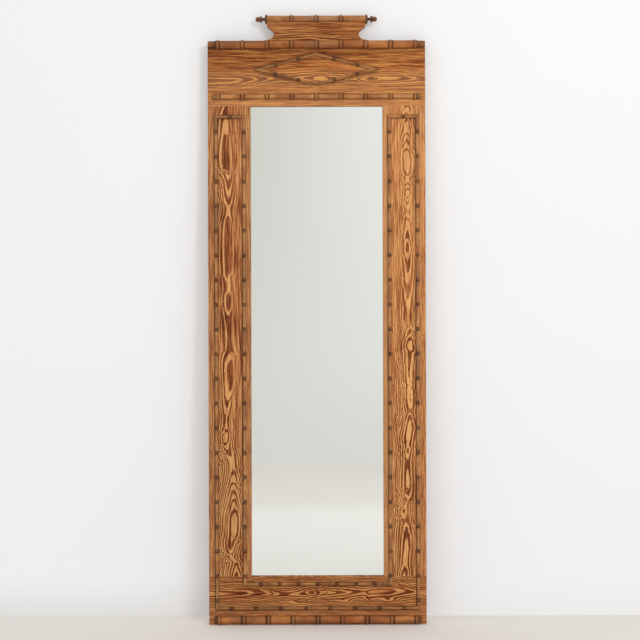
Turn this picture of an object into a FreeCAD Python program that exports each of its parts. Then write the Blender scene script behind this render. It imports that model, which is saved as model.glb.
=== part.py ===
import FreeCAD, Part
import math
import os

# A tall floor mirror in pitch pine, dressed with split turnings in the bamboo pattern.
# Millimetres, +Z up, front towards -Y. The origin is the middle of the bottom rail's underside,
# where the mirror stands on the floor.

Vector = FreeCAD.Vector

# The four boards of the frame
frame_width = 750.0
frame_height = 2012.0
stile_width = 147.0
top_rail_height = 224.0
bottom_rail_height = 166.0
board_thickness = 32.0
arris_radius = 1.5

# Stub tenons on the stiles, in blind mortises in the rails
tenon_thickness = 10.0
tenon_length = 60.0
tenon_setback = 11.0
tenon_outer_shoulder = 22.0
tenon_inner_shoulder = 12.0
mortise_end_gap = 1.5

# Silvered plate in its rebate
lip_thickness = 12.0
plate_thickness = 4.0
plate_rebate_width = 10.0
plate_clearance = 2.5

# Wedge blocks glued behind the plate's edge
block_width = 16.0
block_length = 60.0
block_clearance = 0.3
blocks_per_stile = 4
blocks_per_rail = 2

# Backboards on their own ledge, flush with the back of the frame
backboard_thickness = 8.0
backboard_ledge = 14.0
backboard_clearance = 1.0
backboard_gap = 1.0
backboard_count = 3

# Wire nails through the backboards
nail_length = 22.0
nail_shank_radius = 0.9
nail_head_radius = 2.2
nail_head_thickness = 0.8
nail_clearance = 0.05
nail_side_inset = 25.0
nails_per_stile = 5

# Crest board, dowelled to the top rail, front flush with it
crest_height = 67.0
crest_half_width = 170.0
crest_thickness = 24.0
crest_cove_radius = 19.0
crest_cove_inset = 4.5
crest_cove_rise = 17.0
crest_quirk_height = 2.5
crest_ovolo_radius = 13.0
crest_foot_half_width = 180.0
crest_foot_edge = 2.0
crest_foot_root = 5.4
dowel_radius = 5.0
dowel_length = 60.0
dowel_spacing = 100.0
dowel_clearance = 0.05
dowel_end_gap = 1.0

# Crest rod, turned in the round and planed flat where it sits on the crest board
crest_rod_radius = 13.0
crest_ring_radius = 16.0
crest_ring_length = 14.0
crest_flat_depth = 2.5

# Finials with a spigot in each end of the crest rod
spigot_radius = 4.0
spigot_length = 16.0
spigot_clearance = 0.05
spigot_end_gap = 1.0
flange_radius = 16.5
flange_rim_length = 6.0
flange_rim_drop = 1.5
flange_length = 8.5
neck_radius = 4.5
neck_flare = 1.2
neck_length = 8.5
finial_ring_radius = 11.5
finial_ring_drop = 2.5
finial_ring_length = 8.0
bulb_neck_radius = 5.5
bulb_length = 15.5

# Bamboo pattern shared by the turnings
node_pitch = 85.0
end_node_inset = 35.0
waist_share = 0.04
quirk_length_share = 0.17
quirk_depth_share = 0.3

# Cornice rod along the top edge of the top rail, with a stub at each end
cornice_radius = 14.0
cornice_ring_radius = 16.5
cornice_ring_length = 15.0
cornice_axis_drop = 12.0
cornice_cup_length = 9.0
cornice_stub_radius = 9.0
cornice_tip_length = 33.0

# Frieze rod above the plate, with bullet tips
frieze_radius = 8.2
frieze_ring_radius = 13.0
frieze_ring_length = 14.0
frieze_axis_rise = 32.5
frieze_tip_length = 21.0

# Base rod along the foot of the bottom rail, with domed ends
base_radius = 14.0
base_ring_radius = 16.5
base_ring_length = 15.0
base_floor_gap = 0.5
base_tip_length = 18.0

# Slim half-round beads in a mitred loop over the stiles and the bottom rail
bead_radius = 5.5
bead_ring_radius = 8.0
bead_ring_length = 12.0
outer_bead_inset = 28.0
inner_bead_inset = 124.0
bead_top_drop = 37.0
apron_bead_drop = 26.0
plinth_bead_rise = 56.0
first_node_drop = 53.0
last_node_margin = 20.0
apron_node_pitch = 65.5

# Mitred lozenge of beads on the top rail, between the cornice rod and the frieze rod;
# its sizes are measured on the centre lines
lozenge_half_width = 200.0
lozenge_cornice_gap = 34.0
lozenge_frieze_gap = 41.5
lozenge_node_shares = (0.311, 0.707)

# How far a cut runs past the face that it opens
cut_overrun = 5.0

# Places that the pieces share
front = -board_thickness / 2
back = board_thickness / 2
half_width = frame_width / 2
half_opening = half_width - stile_width
opening_bottom = bottom_rail_height
opening_top = frame_height - top_rail_height
plate_front = front + lip_thickness
plate_back = plate_front + plate_thickness
ledge_face = back - backboard_thickness
rebate_side = half_opening + plate_rebate_width
ledge_side = rebate_side + backboard_ledge
tenon_inner = ledge_side + tenon_inner_shoulder
tenon_outer = half_width - tenon_outer_shoulder
tenon_front = front + tenon_setback
tenon_back = tenon_front + tenon_thickness
crest_top = frame_height + crest_height
crest_middle = front + crest_thickness / 2
crest_axis = crest_top + crest_rod_radius - crest_flat_depth
cornice_axis = frame_height - cornice_axis_drop
frieze_axis = opening_top + frieze_axis_rise
base_axis = base_ring_radius + base_floor_gap
dowel_places = (-dowel_spacing, 0, dowel_spacing)

along_x = Vector(1, 0, 0)
along_y = Vector(0, 1, 0)
along_z = Vector(0, 0, 1)
origin = Vector(0, 0, 0)
half_turn = 180
full_turn = 360


def block(x_low, x_high, y_low, y_high, z_low, z_high):
    """A square block between two corners."""
    corner = Vector(x_low, y_low, z_low)
    return Part.makeBox(x_high - x_low, y_high - y_low, z_high - z_low, corner)


def line(start, end):
    """A straight edge."""
    return Part.LineSegment(start, end).toShape()


def arc(start, middle, end):
    """A round edge through three points."""
    return Part.Arc(start, middle, end).toShape()


def face_of(edges):
    """A flat face inside a closed run of edges."""
    return Part.Face(Part.Wire(Part.__sortEdges__(edges)))


def polygon_face(points):
    """A flat face with straight sides."""
    return Part.Face(Part.makePolygon(points + points[:1]))


def joined(solid, additions):
    """One solid from a body and what grows out of it."""
    return solid.fuse(additions).removeSplitter()


def even_places(low, high, count):
    """Places in the middles of equal bays between two ends."""
    bay = (high - low) / count
    return [low + bay * (2 * i + 1) / 2 for i in range(count)]


# Where the nails go: along both stile ledges, and into both rail ledges at each board's sides


def board_sides(index):
    """Left and right edge of one backboard."""
    whole = 2 * (ledge_side - backboard_clearance)
    width = (whole - backboard_gap * (backboard_count - 1)) / backboard_count
    left = -whole / 2 + index * (width + backboard_gap)
    return left, left + width


def nail_places():
    """Middle of each nail's head, as X and Z."""
    side = (rebate_side + ledge_side) / 2
    low = opening_bottom - (side - half_opening)
    high = opening_top + (side - half_opening)
    places = []
    for z in even_places(opening_bottom, opening_top, nails_per_stile):
        places += [(-side, z), (side, z)]
    for index in range(backboard_count):
        left, right = board_sides(index)
        for x in (left + nail_side_inset, right - nail_side_inset):
            places += [(x, low), (x, high)]
    return places


def nail(x, z, clearance):
    """A nail with a flat head, flush with the backboard, or the hole that it leaves."""
    head = Part.makeCylinder(
        nail_head_radius + clearance, nail_head_thickness + clearance, Vector(x, back, z), -along_y
    )
    shank = Part.makeCylinder(
        nail_shank_radius + clearance, nail_length + clearance, Vector(x, back, z), -along_y
    )
    return joined(head, [shank])


def pierced(solid):
    """A board with the holes of the nails that reach it."""
    reach = solid.BoundBox
    holes = []
    for x, z in nail_places():
        if reach.XMin < x < reach.XMax and reach.ZMin < z < reach.ZMax:
            holes.append(nail(x, z, nail_clearance))
    return solid.cut(holes)


# Boards


def eased_corner(x, y, into_x, into_y):
    """Quarter round that eases a board's corner; the signs point into the board."""
    lean = arris_radius * (1 - math.cos(math.pi / 4))
    return arc(
        Vector(x + into_x * arris_radius, y, 0),
        Vector(x + into_x * lean, y + into_y * lean, 0),
        Vector(x, y + into_y * arris_radius, 0),
    )


def right_stile():
    """Stile with its two rebates run along the inner edge, and a stub tenon at each end."""
    sight = half_opening
    corners = [
        eased_corner(sight, front, 1, 1),
        eased_corner(half_width, front, -1, 1),
        eased_corner(half_width, back, -1, -1),
    ]
    runs = [
        (Vector(sight + arris_radius, front, 0), Vector(half_width - arris_radius, front, 0)),
        (Vector(half_width, front + arris_radius, 0), Vector(half_width, back - arris_radius, 0)),
        (Vector(half_width - arris_radius, back, 0), Vector(ledge_side, back, 0)),
        (Vector(ledge_side, back, 0), Vector(ledge_side, ledge_face, 0)),
        (Vector(ledge_side, ledge_face, 0), Vector(rebate_side, ledge_face, 0)),
        (Vector(rebate_side, ledge_face, 0), Vector(rebate_side, plate_front, 0)),
        (Vector(rebate_side, plate_front, 0), Vector(sight, plate_front, 0)),
        (Vector(sight, plate_front, 0), Vector(sight, front + arris_radius, 0)),
    ]
    section = face_of(corners + [line(start, end) for start, end in runs])
    section.translate(along_z * opening_bottom)
    shaft = section.extrude(along_z * (opening_top - opening_bottom))
    tenons = [
        block(tenon_inner, tenon_outer, tenon_front, tenon_back, low, low + tenon_length)
        for low in (opening_bottom - tenon_length, opening_top)
    ]
    return pierced(joined(shaft, tenons))


def mirrored(solid):
    """The left-hand copy of a right-hand piece."""
    return solid.mirror(origin, along_x)


def rail(low, high, sight, into):
    """Rail the full width of the frame; into is the way from its sight edge into the wood."""
    board = block(-half_width, half_width, front, back, low, high)
    ends = [edge for edge in board.Edges if edge.BoundBox.ZLength > (high - low) / 2]
    board = board.makeFillet(arris_radius, ends)

    def from_sight(side, y_low, y_high, depth):
        """A cut from the sight edge into the rail, stopped at both sides."""
        z_ends = sorted((sight - into * cut_overrun, sight + into * depth))
        return block(-side, side, y_low, y_high, *z_ends)

    open_back = back + cut_overrun
    cuts = [
        from_sight(rebate_side, plate_front, open_back, plate_rebate_width),
        from_sight(ledge_side, ledge_face, open_back, plate_rebate_width + backboard_ledge),
        sight_easing(sight, into),
    ]
    mortise_ends = sorted((sight, sight + into * (tenon_length + mortise_end_gap)))
    mortise = block(tenon_inner, tenon_outer, tenon_front, tenon_back, *mortise_ends)
    cuts += [mortise, mirrored(mortise)]
    return pierced(board.cut(cuts))


def sight_easing(sight, into):
    """The sliver that easing takes off a rail's sight edge."""
    lean = arris_radius * (1 - math.cos(math.pi / 4))
    corner = Vector(-half_opening, front, sight)
    into_board = Vector(-half_opening, front + arris_radius, sight)
    into_face = Vector(-half_opening, front, sight + into * arris_radius)
    round_middle = Vector(-half_opening, front + lean, sight + into * lean)
    edges = [line(corner, into_board), arc(into_board, round_middle, into_face), line(into_face, corner)]
    return face_of(edges).extrude(along_x * (2 * half_opening))


def dowel_hole(x):
    """Bore for one crest dowel, half in the top rail and half in the crest board."""
    depth = dowel_length + 2 * dowel_end_gap
    foot = Vector(x, crest_middle, frame_height - depth / 2)
    return Part.makeCylinder(dowel_radius + dowel_clearance, depth, foot, along_z)


def crest_dowels():
    """Dowels that hold the crest board on the top rail."""
    dowels = []
    for x in dowel_places:
        foot = Vector(x, crest_middle, frame_height - dowel_length / 2)
        dowels.append(Part.makeCylinder(dowel_radius, dowel_length, foot, along_z))
    return Part.makeCompound(dowels)


def crest_board():
    """Board with a round cove under an ovolo in each end, over a spreading foot."""
    cove_middle = frame_height + crest_foot_root + crest_cove_radius
    cove_side = crest_half_width - crest_cove_inset
    ovolo_side = crest_half_width - crest_ovolo_radius
    quirk_foot = cove_middle + crest_cove_rise
    ovolo_middle = quirk_foot + crest_quirk_height + crest_ovolo_radius

    def end_edges(side):
        """One end, from the foot up to the top corner."""
        toe = Vector(side * crest_foot_half_width, front, frame_height)
        toe_top = toe + along_z * crest_foot_edge
        root = Vector(side * cove_side, front, frame_height + crest_foot_root)
        waist = Vector(side * (cove_side - crest_cove_radius), front, cove_middle)
        quirk = Vector(side * ovolo_side, front, quirk_foot)
        quirk_top = quirk + along_z * crest_quirk_height
        centre = Vector(side * ovolo_side, front, ovolo_middle)
        bulge = centre + Vector(side, 0, -1).normalize() * crest_ovolo_radius
        shoulder = Vector(side * crest_half_width, front, ovolo_middle)
        top = Vector(side * crest_half_width, front, crest_top)
        return toe, top, [
            line(toe, toe_top),
            line(toe_top, root),
            arc(root, waist, quirk),
            line(quirk, quirk_top),
            arc(quirk_top, bulge, shoulder),
            line(shoulder, top),
        ]

    left_toe, left_top, left_edges = end_edges(-1)
    right_toe, right_top, right_edges = end_edges(1)
    across = [line(left_toe, right_toe), line(left_top, right_top)]
    board = face_of(left_edges + right_edges + across).extrude(along_y * crest_thickness)
    return board.cut([dowel_hole(x) for x in dowel_places])


# Plate and back


def mirror_plate():
    """Silvered plate, standing on the bottom rail's rebate."""
    side = rebate_side - plate_clearance
    low = opening_bottom - plate_rebate_width
    high = opening_top + plate_rebate_width - plate_clearance
    return block(-side, side, plate_front, plate_back, low, high)


def wedge(wall, middle):
    """A three-cornered block against a rebate's wall, from the wall's foot; middle is its middle."""
    deep = ledge_face - plate_back - block_clearance
    inward = (middle - wall).normalize()
    along = along_y.cross(inward)
    start = wall - along * (block_length / 2)
    corners = [start, start + along_y * deep, start + inward * block_width]
    return polygon_face(corners).extrude(along * block_length)


def glass_blocks():
    """Blocks round the plate's edge, which keep it against the lip."""
    blocks = []
    for z in even_places(opening_bottom, opening_top, blocks_per_stile):
        for side in (-rebate_side, rebate_side):
            blocks.append(wedge(Vector(side, plate_back, z), Vector(0, plate_back, z)))
    rebate_ends = (opening_bottom - plate_rebate_width, opening_top + plate_rebate_width)
    for x in even_places(-half_opening, half_opening, blocks_per_rail):
        for z in rebate_ends:
            middle = Vector(x, plate_back, (opening_bottom + opening_top) / 2)
            blocks.append(wedge(Vector(x, plate_back, z), middle))
    return Part.makeCompound(blocks)


def backboard(index):
    """One upright board of the back."""
    left, right = board_sides(index)
    reach = plate_rebate_width + backboard_ledge - backboard_clearance
    board = block(left, right, ledge_face, back, opening_bottom - reach, opening_top + reach)
    return pierced(board)


def backboard_nails():
    """All the nails of the back."""
    return Part.makeCompound([nail(x, z, 0) for x, z in nail_places()])


# Turnings, drawn along X with the radius along Z


def on_axis(along, radius=0):
    """A point of a turned outline."""
    return Vector(along, 0, radius)


def node_edges(middle, radius, ring_radius, ring_length):
    """A bamboo node: a rounded ring between two shallow quirks."""
    half_length = ring_length / 2
    quirk = quirk_length_share * ring_length
    depth = quirk_depth_share * (ring_radius - radius)
    foot = half_length - quirk

    def quirk_edge(side):
        """The hollow that sets one side of the ring off from the rod."""
        return arc(
            on_axis(middle + side * half_length, radius),
            on_axis(middle + side * (half_length - quirk / 2), radius - depth),
            on_axis(middle + side * foot, radius),
        )

    ring = arc(on_axis(middle - foot, radius), on_axis(middle, ring_radius), on_axis(middle + foot, radius))
    return [quirk_edge(-1), ring, quirk_edge(1)]


def bamboo_edges(places, radius, ring_radius, ring_length):
    """Nodes at the given places, with a slightly waisted length between each two."""
    edges = []
    for i, place in enumerate(places):
        edges += node_edges(place, radius, ring_radius, ring_length)
        if i + 1 < len(places):
            start = place + ring_length / 2
            end = places[i + 1] - ring_length / 2
            waist = on_axis((start + end) / 2, radius * (1 - waist_share))
            edges.append(arc(on_axis(start, radius), waist, on_axis(end, radius)))
    return edges


def ball_edge(start, radius, tip, side=1):
    """Part of a ball, from a radius at start to the axis at tip; side is -1 at a left end."""
    centre = (tip * tip - start * start - radius * radius) / (2 * (tip - start))
    ball = tip - centre
    turn = math.atan2(radius, start - centre) / 2
    middle = on_axis(side * (centre + ball * math.cos(turn)), ball * math.sin(turn))
    return arc(on_axis(side * start, radius), middle, on_axis(side * tip))


def swept(edges, start, end, angle):
    """A turned solid from its outline, closed along the axis."""
    outline = face_of(edges + [line(on_axis(start), on_axis(end))])
    return outline.revolve(origin, along_x, angle)


def even_nodes(last_node):
    """Nodes from one end node to the other, about a pitch apart."""
    bays = max(1, round(2 * last_node / node_pitch))
    return [-last_node + 2 * last_node * i / bays for i in range(bays + 1)]


def split_rod(radius, ring_radius, ring_length, end_edges, tip_length, height):
    """A rod split along its length and fixed to the front at a height."""
    last_node = half_width - end_node_inset
    tip = last_node + tip_length
    edges = bamboo_edges(even_nodes(last_node), radius, ring_radius, ring_length)
    for side in (-1, 1):
        edges += end_edges(last_node + ring_length / 2, tip, side)
    rod = swept(edges, -tip, tip, half_turn)
    rod.translate(Vector(0, front, height))
    return rod


def cornice_rod():
    """Rod on the top edge of the frame, with a cup and a stub at each end."""

    def stub(start, tip, side):
        """A cup that narrows to a plain stub."""
        cup = start + cornice_cup_length
        points = [
            on_axis(side * start, cornice_radius),
            on_axis(side * cup, cornice_stub_radius),
            on_axis(side * tip, cornice_stub_radius),
            on_axis(side * tip),
        ]
        return [line(points[i], points[i + 1]) for i in range(len(points) - 1)]

    return split_rod(
        cornice_radius, cornice_ring_radius, cornice_ring_length, stub, cornice_tip_length, cornice_axis
    )


def frieze_rod():
    """Slimmer rod above the plate, with bullet tips."""

    def bullet(start, tip, side):
        """A rounded tip."""
        return [ball_edge(start, frieze_radius, tip, side)]

    return split_rod(
        frieze_radius, frieze_ring_radius, frieze_ring_length, bullet, frieze_tip_length, frieze_axis
    )


def base_rod():
    """Rod along the foot of the frame, with domed ends just clear of the floor."""

    def dome(start, tip, side):
        """A low dome."""
        return [ball_edge(start, base_radius, tip, side)]

    return split_rod(base_radius, base_ring_radius, base_ring_length, dome, base_tip_length, base_axis)


def crest_rod():
    """Round rod with a flat planed along its underside and a bore for a spigot in each end."""
    end = crest_half_width
    steps = int((end - crest_ring_length) // node_pitch)
    places = [node_pitch * i for i in range(-steps, steps + 1)]
    edges = bamboo_edges(places, crest_rod_radius, crest_ring_radius, crest_ring_length)
    for side in (-1, 1):
        start = on_axis(side * (places[-1] + crest_ring_length / 2), crest_rod_radius)
        corner = on_axis(side * end, crest_rod_radius)
        edges += [line(start, corner), line(corner, on_axis(side * end))]
    rod = swept(edges, -end, end, full_turn)
    rod.translate(Vector(0, crest_middle, crest_axis))
    reach = end + cut_overrun
    below = crest_axis - crest_ring_radius - cut_overrun
    sides = crest_ring_radius + cut_overrun
    planed = block(-reach, reach, crest_middle - sides, crest_middle + sides, below, crest_top)
    depth = spigot_length + spigot_end_gap
    cuts = [planed]
    for side in (-1, 1):
        mouth = Vector(side * end, crest_middle, crest_axis)
        cuts.append(Part.makeCylinder(spigot_radius + spigot_clearance, depth, mouth, along_x * -side))
    return rod.cut(cuts)


def right_finial():
    """Flange, neck, ring and bulb, turned in one with the spigot that holds them."""
    rim = flange_radius - flange_rim_drop
    waist = neck_radius + neck_flare
    ring_start = flange_length + neck_length
    ring_end = ring_start + finial_ring_length
    ring_side = finial_ring_radius - finial_ring_drop
    points = [
        (-spigot_length, 0),
        (-spigot_length, spigot_radius),
        (0, spigot_radius),
        (0, rim),
    ]
    edges = [line(on_axis(*points[i]), on_axis(*points[i + 1])) for i in range(len(points) - 1)]
    edges += [
        arc(
            on_axis(0, rim),
            on_axis(flange_rim_length / 2, flange_radius),
            on_axis(flange_rim_length, rim),
        ),
        line(on_axis(flange_rim_length, rim), on_axis(flange_length, waist)),
        arc(
            on_axis(flange_length, waist),
            on_axis(flange_length + neck_length / 2, neck_radius),
            on_axis(ring_start, waist),
        ),
        line(on_axis(ring_start, waist), on_axis(ring_start, ring_side)),
        arc(
            on_axis(ring_start, ring_side),
            on_axis((ring_start + ring_end) / 2, finial_ring_radius),
            on_axis(ring_end, ring_side),
        ),
        line(on_axis(ring_end, ring_side), on_axis(ring_end, bulb_neck_radius)),
        ball_edge(ring_end, bulb_neck_radius, ring_end + bulb_length),
    ]
    finial = swept(edges, -spigot_length, ring_end + bulb_length, full_turn)
    finial.translate(Vector(crest_half_width, crest_middle, crest_axis))
    return finial


# Slim beads


def bead(start, end, before, after, places):
    """A half-round bead between two corners of a loop, mitred against the beads before and after."""
    run = end - start
    length = run.Length
    ahead = run / length
    to_before = (before - start).normalize()
    to_after = (after - end).normalize()
    overhangs = [
        bead_ring_radius / math.tan(ahead.getAngle(to_before) / 2),
        bead_ring_radius / math.tan((-ahead).getAngle(to_after) / 2),
    ]
    low = -overhangs[0]
    high = length + overhangs[1]
    ends = [
        line(on_axis(low), on_axis(low, bead_radius)),
        line(on_axis(low, bead_radius), on_axis(places[0] - bead_ring_length / 2, bead_radius)),
        line(on_axis(places[-1] + bead_ring_length / 2, bead_radius), on_axis(high, bead_radius)),
        line(on_axis(high, bead_radius), on_axis(high)),
    ]
    edges = ends + bamboo_edges(places, bead_radius, bead_ring_radius, bead_ring_length)
    solid = swept(edges, low, high, half_turn)
    solid.rotate(origin, along_y, -math.degrees(math.atan2(ahead.z, ahead.x)))
    solid.translate(start)
    waste = [
        mitre_waste(start, to_before - ahead, overhangs[0]),
        mitre_waste(end, to_after + ahead, overhangs[1]),
    ]
    return solid.cut(waste)


def mitre_waste(corner, away, overhang):
    """The block that a mitre saws away, with one face on the corner."""
    side = 2 * (overhang + bead_ring_radius) + cut_overrun
    waste = Part.makeBox(side, side, side, Vector(0, -side / 2, -side / 2))
    waste.Placement = FreeCAD.Placement(corner, FreeCAD.Rotation(along_x, away))
    return waste


def loop_of_beads(corners, places):
    """One bead from each corner to the next, all the way round."""
    count = len(corners)
    beads = []
    for i in range(count):
        start, end = corners[i], corners[(i + 1) % count]
        before, after = corners[i - 1], corners[(i + 2) % count]
        beads.append(bead(start, end, before, after, places[i]))
    return beads


def centred_nodes(length, pitch, first):
    """Nodes either side of a bead's middle, the nearest at a distance from it."""
    room = length / 2 - last_node_margin - first
    steps = [first + pitch * i for i in range(int(room // pitch) + 1)]
    return sorted({length / 2 - step for step in steps} | {length / 2 + step for step in steps})


def nodes_from_top(length):
    """Nodes down a stile's bead, from its upper end."""
    count = int((length - last_node_margin - first_node_drop) // node_pitch) + 1
    return [first_node_drop + node_pitch * i for i in range(count)]


def nodes_from_foot(length):
    """The same nodes, measured from the lower end."""
    return [length - place for place in reversed(nodes_from_top(length))]


def frame_beads():
    """The loop up one stile, down beside the plate, under it and back, by name."""
    outer = half_width - outer_bead_inset
    inner = half_width - inner_bead_inset
    top = opening_top - bead_top_drop
    apron = opening_bottom - apron_bead_drop
    plinth = plinth_bead_rise
    outline = [
        (-outer, plinth),
        (-outer, top),
        (-inner, top),
        (-inner, apron),
        (inner, apron),
        (inner, top),
        (outer, top),
        (outer, plinth),
    ]
    names = [
        "left_outer_bead",
        "left_top_bead",
        "left_inner_bead",
        "apron_bead",
        "right_inner_bead",
        "right_top_bead",
        "right_outer_bead",
        "plinth_bead",
    ]
    cap = [(outer - inner) / 2]
    places = [
        nodes_from_foot(top - plinth),
        cap,
        nodes_from_top(top - apron),
        centred_nodes(2 * inner, apron_node_pitch, 0),
        nodes_from_foot(top - apron),
        cap,
        nodes_from_top(top - plinth),
        centred_nodes(2 * outer, node_pitch, node_pitch / 2),
    ]
    corners = [Vector(x, front, z) for x, z in outline]
    return dict(zip(names, loop_of_beads(corners, places)))


def lozenge_beads():
    """The four beads of the lozenge, by name."""
    low = frieze_axis + lozenge_frieze_gap
    high = cornice_axis - lozenge_cornice_gap
    middle = (low + high) / 2
    corners = [
        Vector(0, front, high),
        Vector(lozenge_half_width, front, middle),
        Vector(0, front, low),
        Vector(-lozenge_half_width, front, middle),
    ]
    length = math.hypot(lozenge_half_width, high - middle)
    outward = [length * share for share in lozenge_node_shares]
    inward = [length - place for place in reversed(outward)]
    names = [
        "lozenge_upper_right_bead",
        "lozenge_lower_right_bead",
        "lozenge_lower_left_bead",
        "lozenge_upper_left_bead",
    ]
    return dict(zip(names, loop_of_beads(corners, [outward, inward, outward, inward])))


def all_pieces():
    """Every piece of the mirror, by name."""
    stile = right_stile()
    finial = right_finial()
    top_rail = rail(opening_top, frame_height, opening_top, 1)
    pieces = {
        "left_stile": mirrored(stile),
        "right_stile": stile,
        "top_rail": top_rail.cut([dowel_hole(x) for x in dowel_places]),
        "bottom_rail": rail(0, opening_bottom, opening_bottom, -1),
        "crest_board": crest_board(),
        "crest_dowels": crest_dowels(),
        "crest_rod": crest_rod(),
        "left_finial": mirrored(finial),
        "right_finial": finial,
        "cornice_rod": cornice_rod(),
        "frieze_rod": frieze_rod(),
        "base_rod": base_rod(),
        "mirror_plate": mirror_plate(),
        "glass_blocks": glass_blocks(),
        "backboard_nails": backboard_nails(),
    }
    for index in range(backboard_count):
        pieces[f"backboard_{index + 1}"] = backboard(index)
    pieces.update(lozenge_beads())
    pieces.update(frame_beads())
    return pieces


os.makedirs("parts", exist_ok=True)
for name, solid in all_pieces().items():
    solid.exportStep(f"parts/{name}.step")
    print(name, len(solid.Solids), "valid" if solid.isValid() else "INVALID", round(solid.Volume, 1))
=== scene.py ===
"""Dresses the floor mirror: pitch pine boards, turned bamboo rods and beads, and a silvered plate."""

import logging
import math
from dataclasses import dataclass
from enum import Enum
from typing import Optional, Sequence, Union

import bpy
import numpy as np
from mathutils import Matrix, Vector


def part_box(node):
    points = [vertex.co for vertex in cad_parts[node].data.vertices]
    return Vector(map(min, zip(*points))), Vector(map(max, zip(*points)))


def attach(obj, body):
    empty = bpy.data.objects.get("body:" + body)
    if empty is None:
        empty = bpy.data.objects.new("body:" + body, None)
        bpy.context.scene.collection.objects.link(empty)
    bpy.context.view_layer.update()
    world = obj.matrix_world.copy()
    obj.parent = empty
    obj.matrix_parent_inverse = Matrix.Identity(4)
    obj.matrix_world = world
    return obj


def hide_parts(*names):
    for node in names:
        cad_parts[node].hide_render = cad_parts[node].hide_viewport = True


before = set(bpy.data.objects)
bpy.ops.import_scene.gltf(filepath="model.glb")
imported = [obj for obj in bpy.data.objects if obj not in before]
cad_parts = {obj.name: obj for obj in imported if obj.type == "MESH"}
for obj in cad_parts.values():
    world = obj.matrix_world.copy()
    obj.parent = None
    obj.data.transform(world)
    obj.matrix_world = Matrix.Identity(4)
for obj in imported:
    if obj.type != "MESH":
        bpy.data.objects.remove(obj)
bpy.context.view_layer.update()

LOG = logging.getLogger("floor_mirror")
BODY = "root"
TINY = 1e-6
# The mix node's sockets for colours
MIX_FIRST, MIX_SECOND, MIX_RESULT = 6, 7, 2
LOZENGE = tuple(
    f"lozenge_{place}_bead" for place in ("upper_right", "lower_right", "lower_left", "upper_left")
)

Rgb = tuple[int, int, int]
Triple = tuple[float, float, float]
Span = tuple[float, float]
Points = Sequence[Span]
Feed = Union["Field", float, Sequence[float]]


# Shader arithmetic


def linear(colour: Rgb) -> tuple[float, ...]:
    """Turns a screen colour into the linear colour that a shader takes, by the sRGB curve.

    Args:
        colour: red, green and blue from 0 to 255.

    Returns:
        Linear red, green and blue, and an alpha of 1.
    """
    share = np.array(colour) / 255
    bent = np.where(share <= 0.04045, share / 12.92, ((share + 0.055) / 1.055) ** 2.4)
    return (*(float(channel) for channel in bent), 1.0)


@dataclass(frozen=True)
class Layer:
    """A layer of noise: how often it changes in a unit of each coordinate, and where it starts.

    Detail is how many finer layers are added, and rough how strong they are.
    """

    rates: Triple
    detail: float = 2.0
    rough: float = 0.5
    start: Triple = (0.0, 0.0, 0.0)


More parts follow.
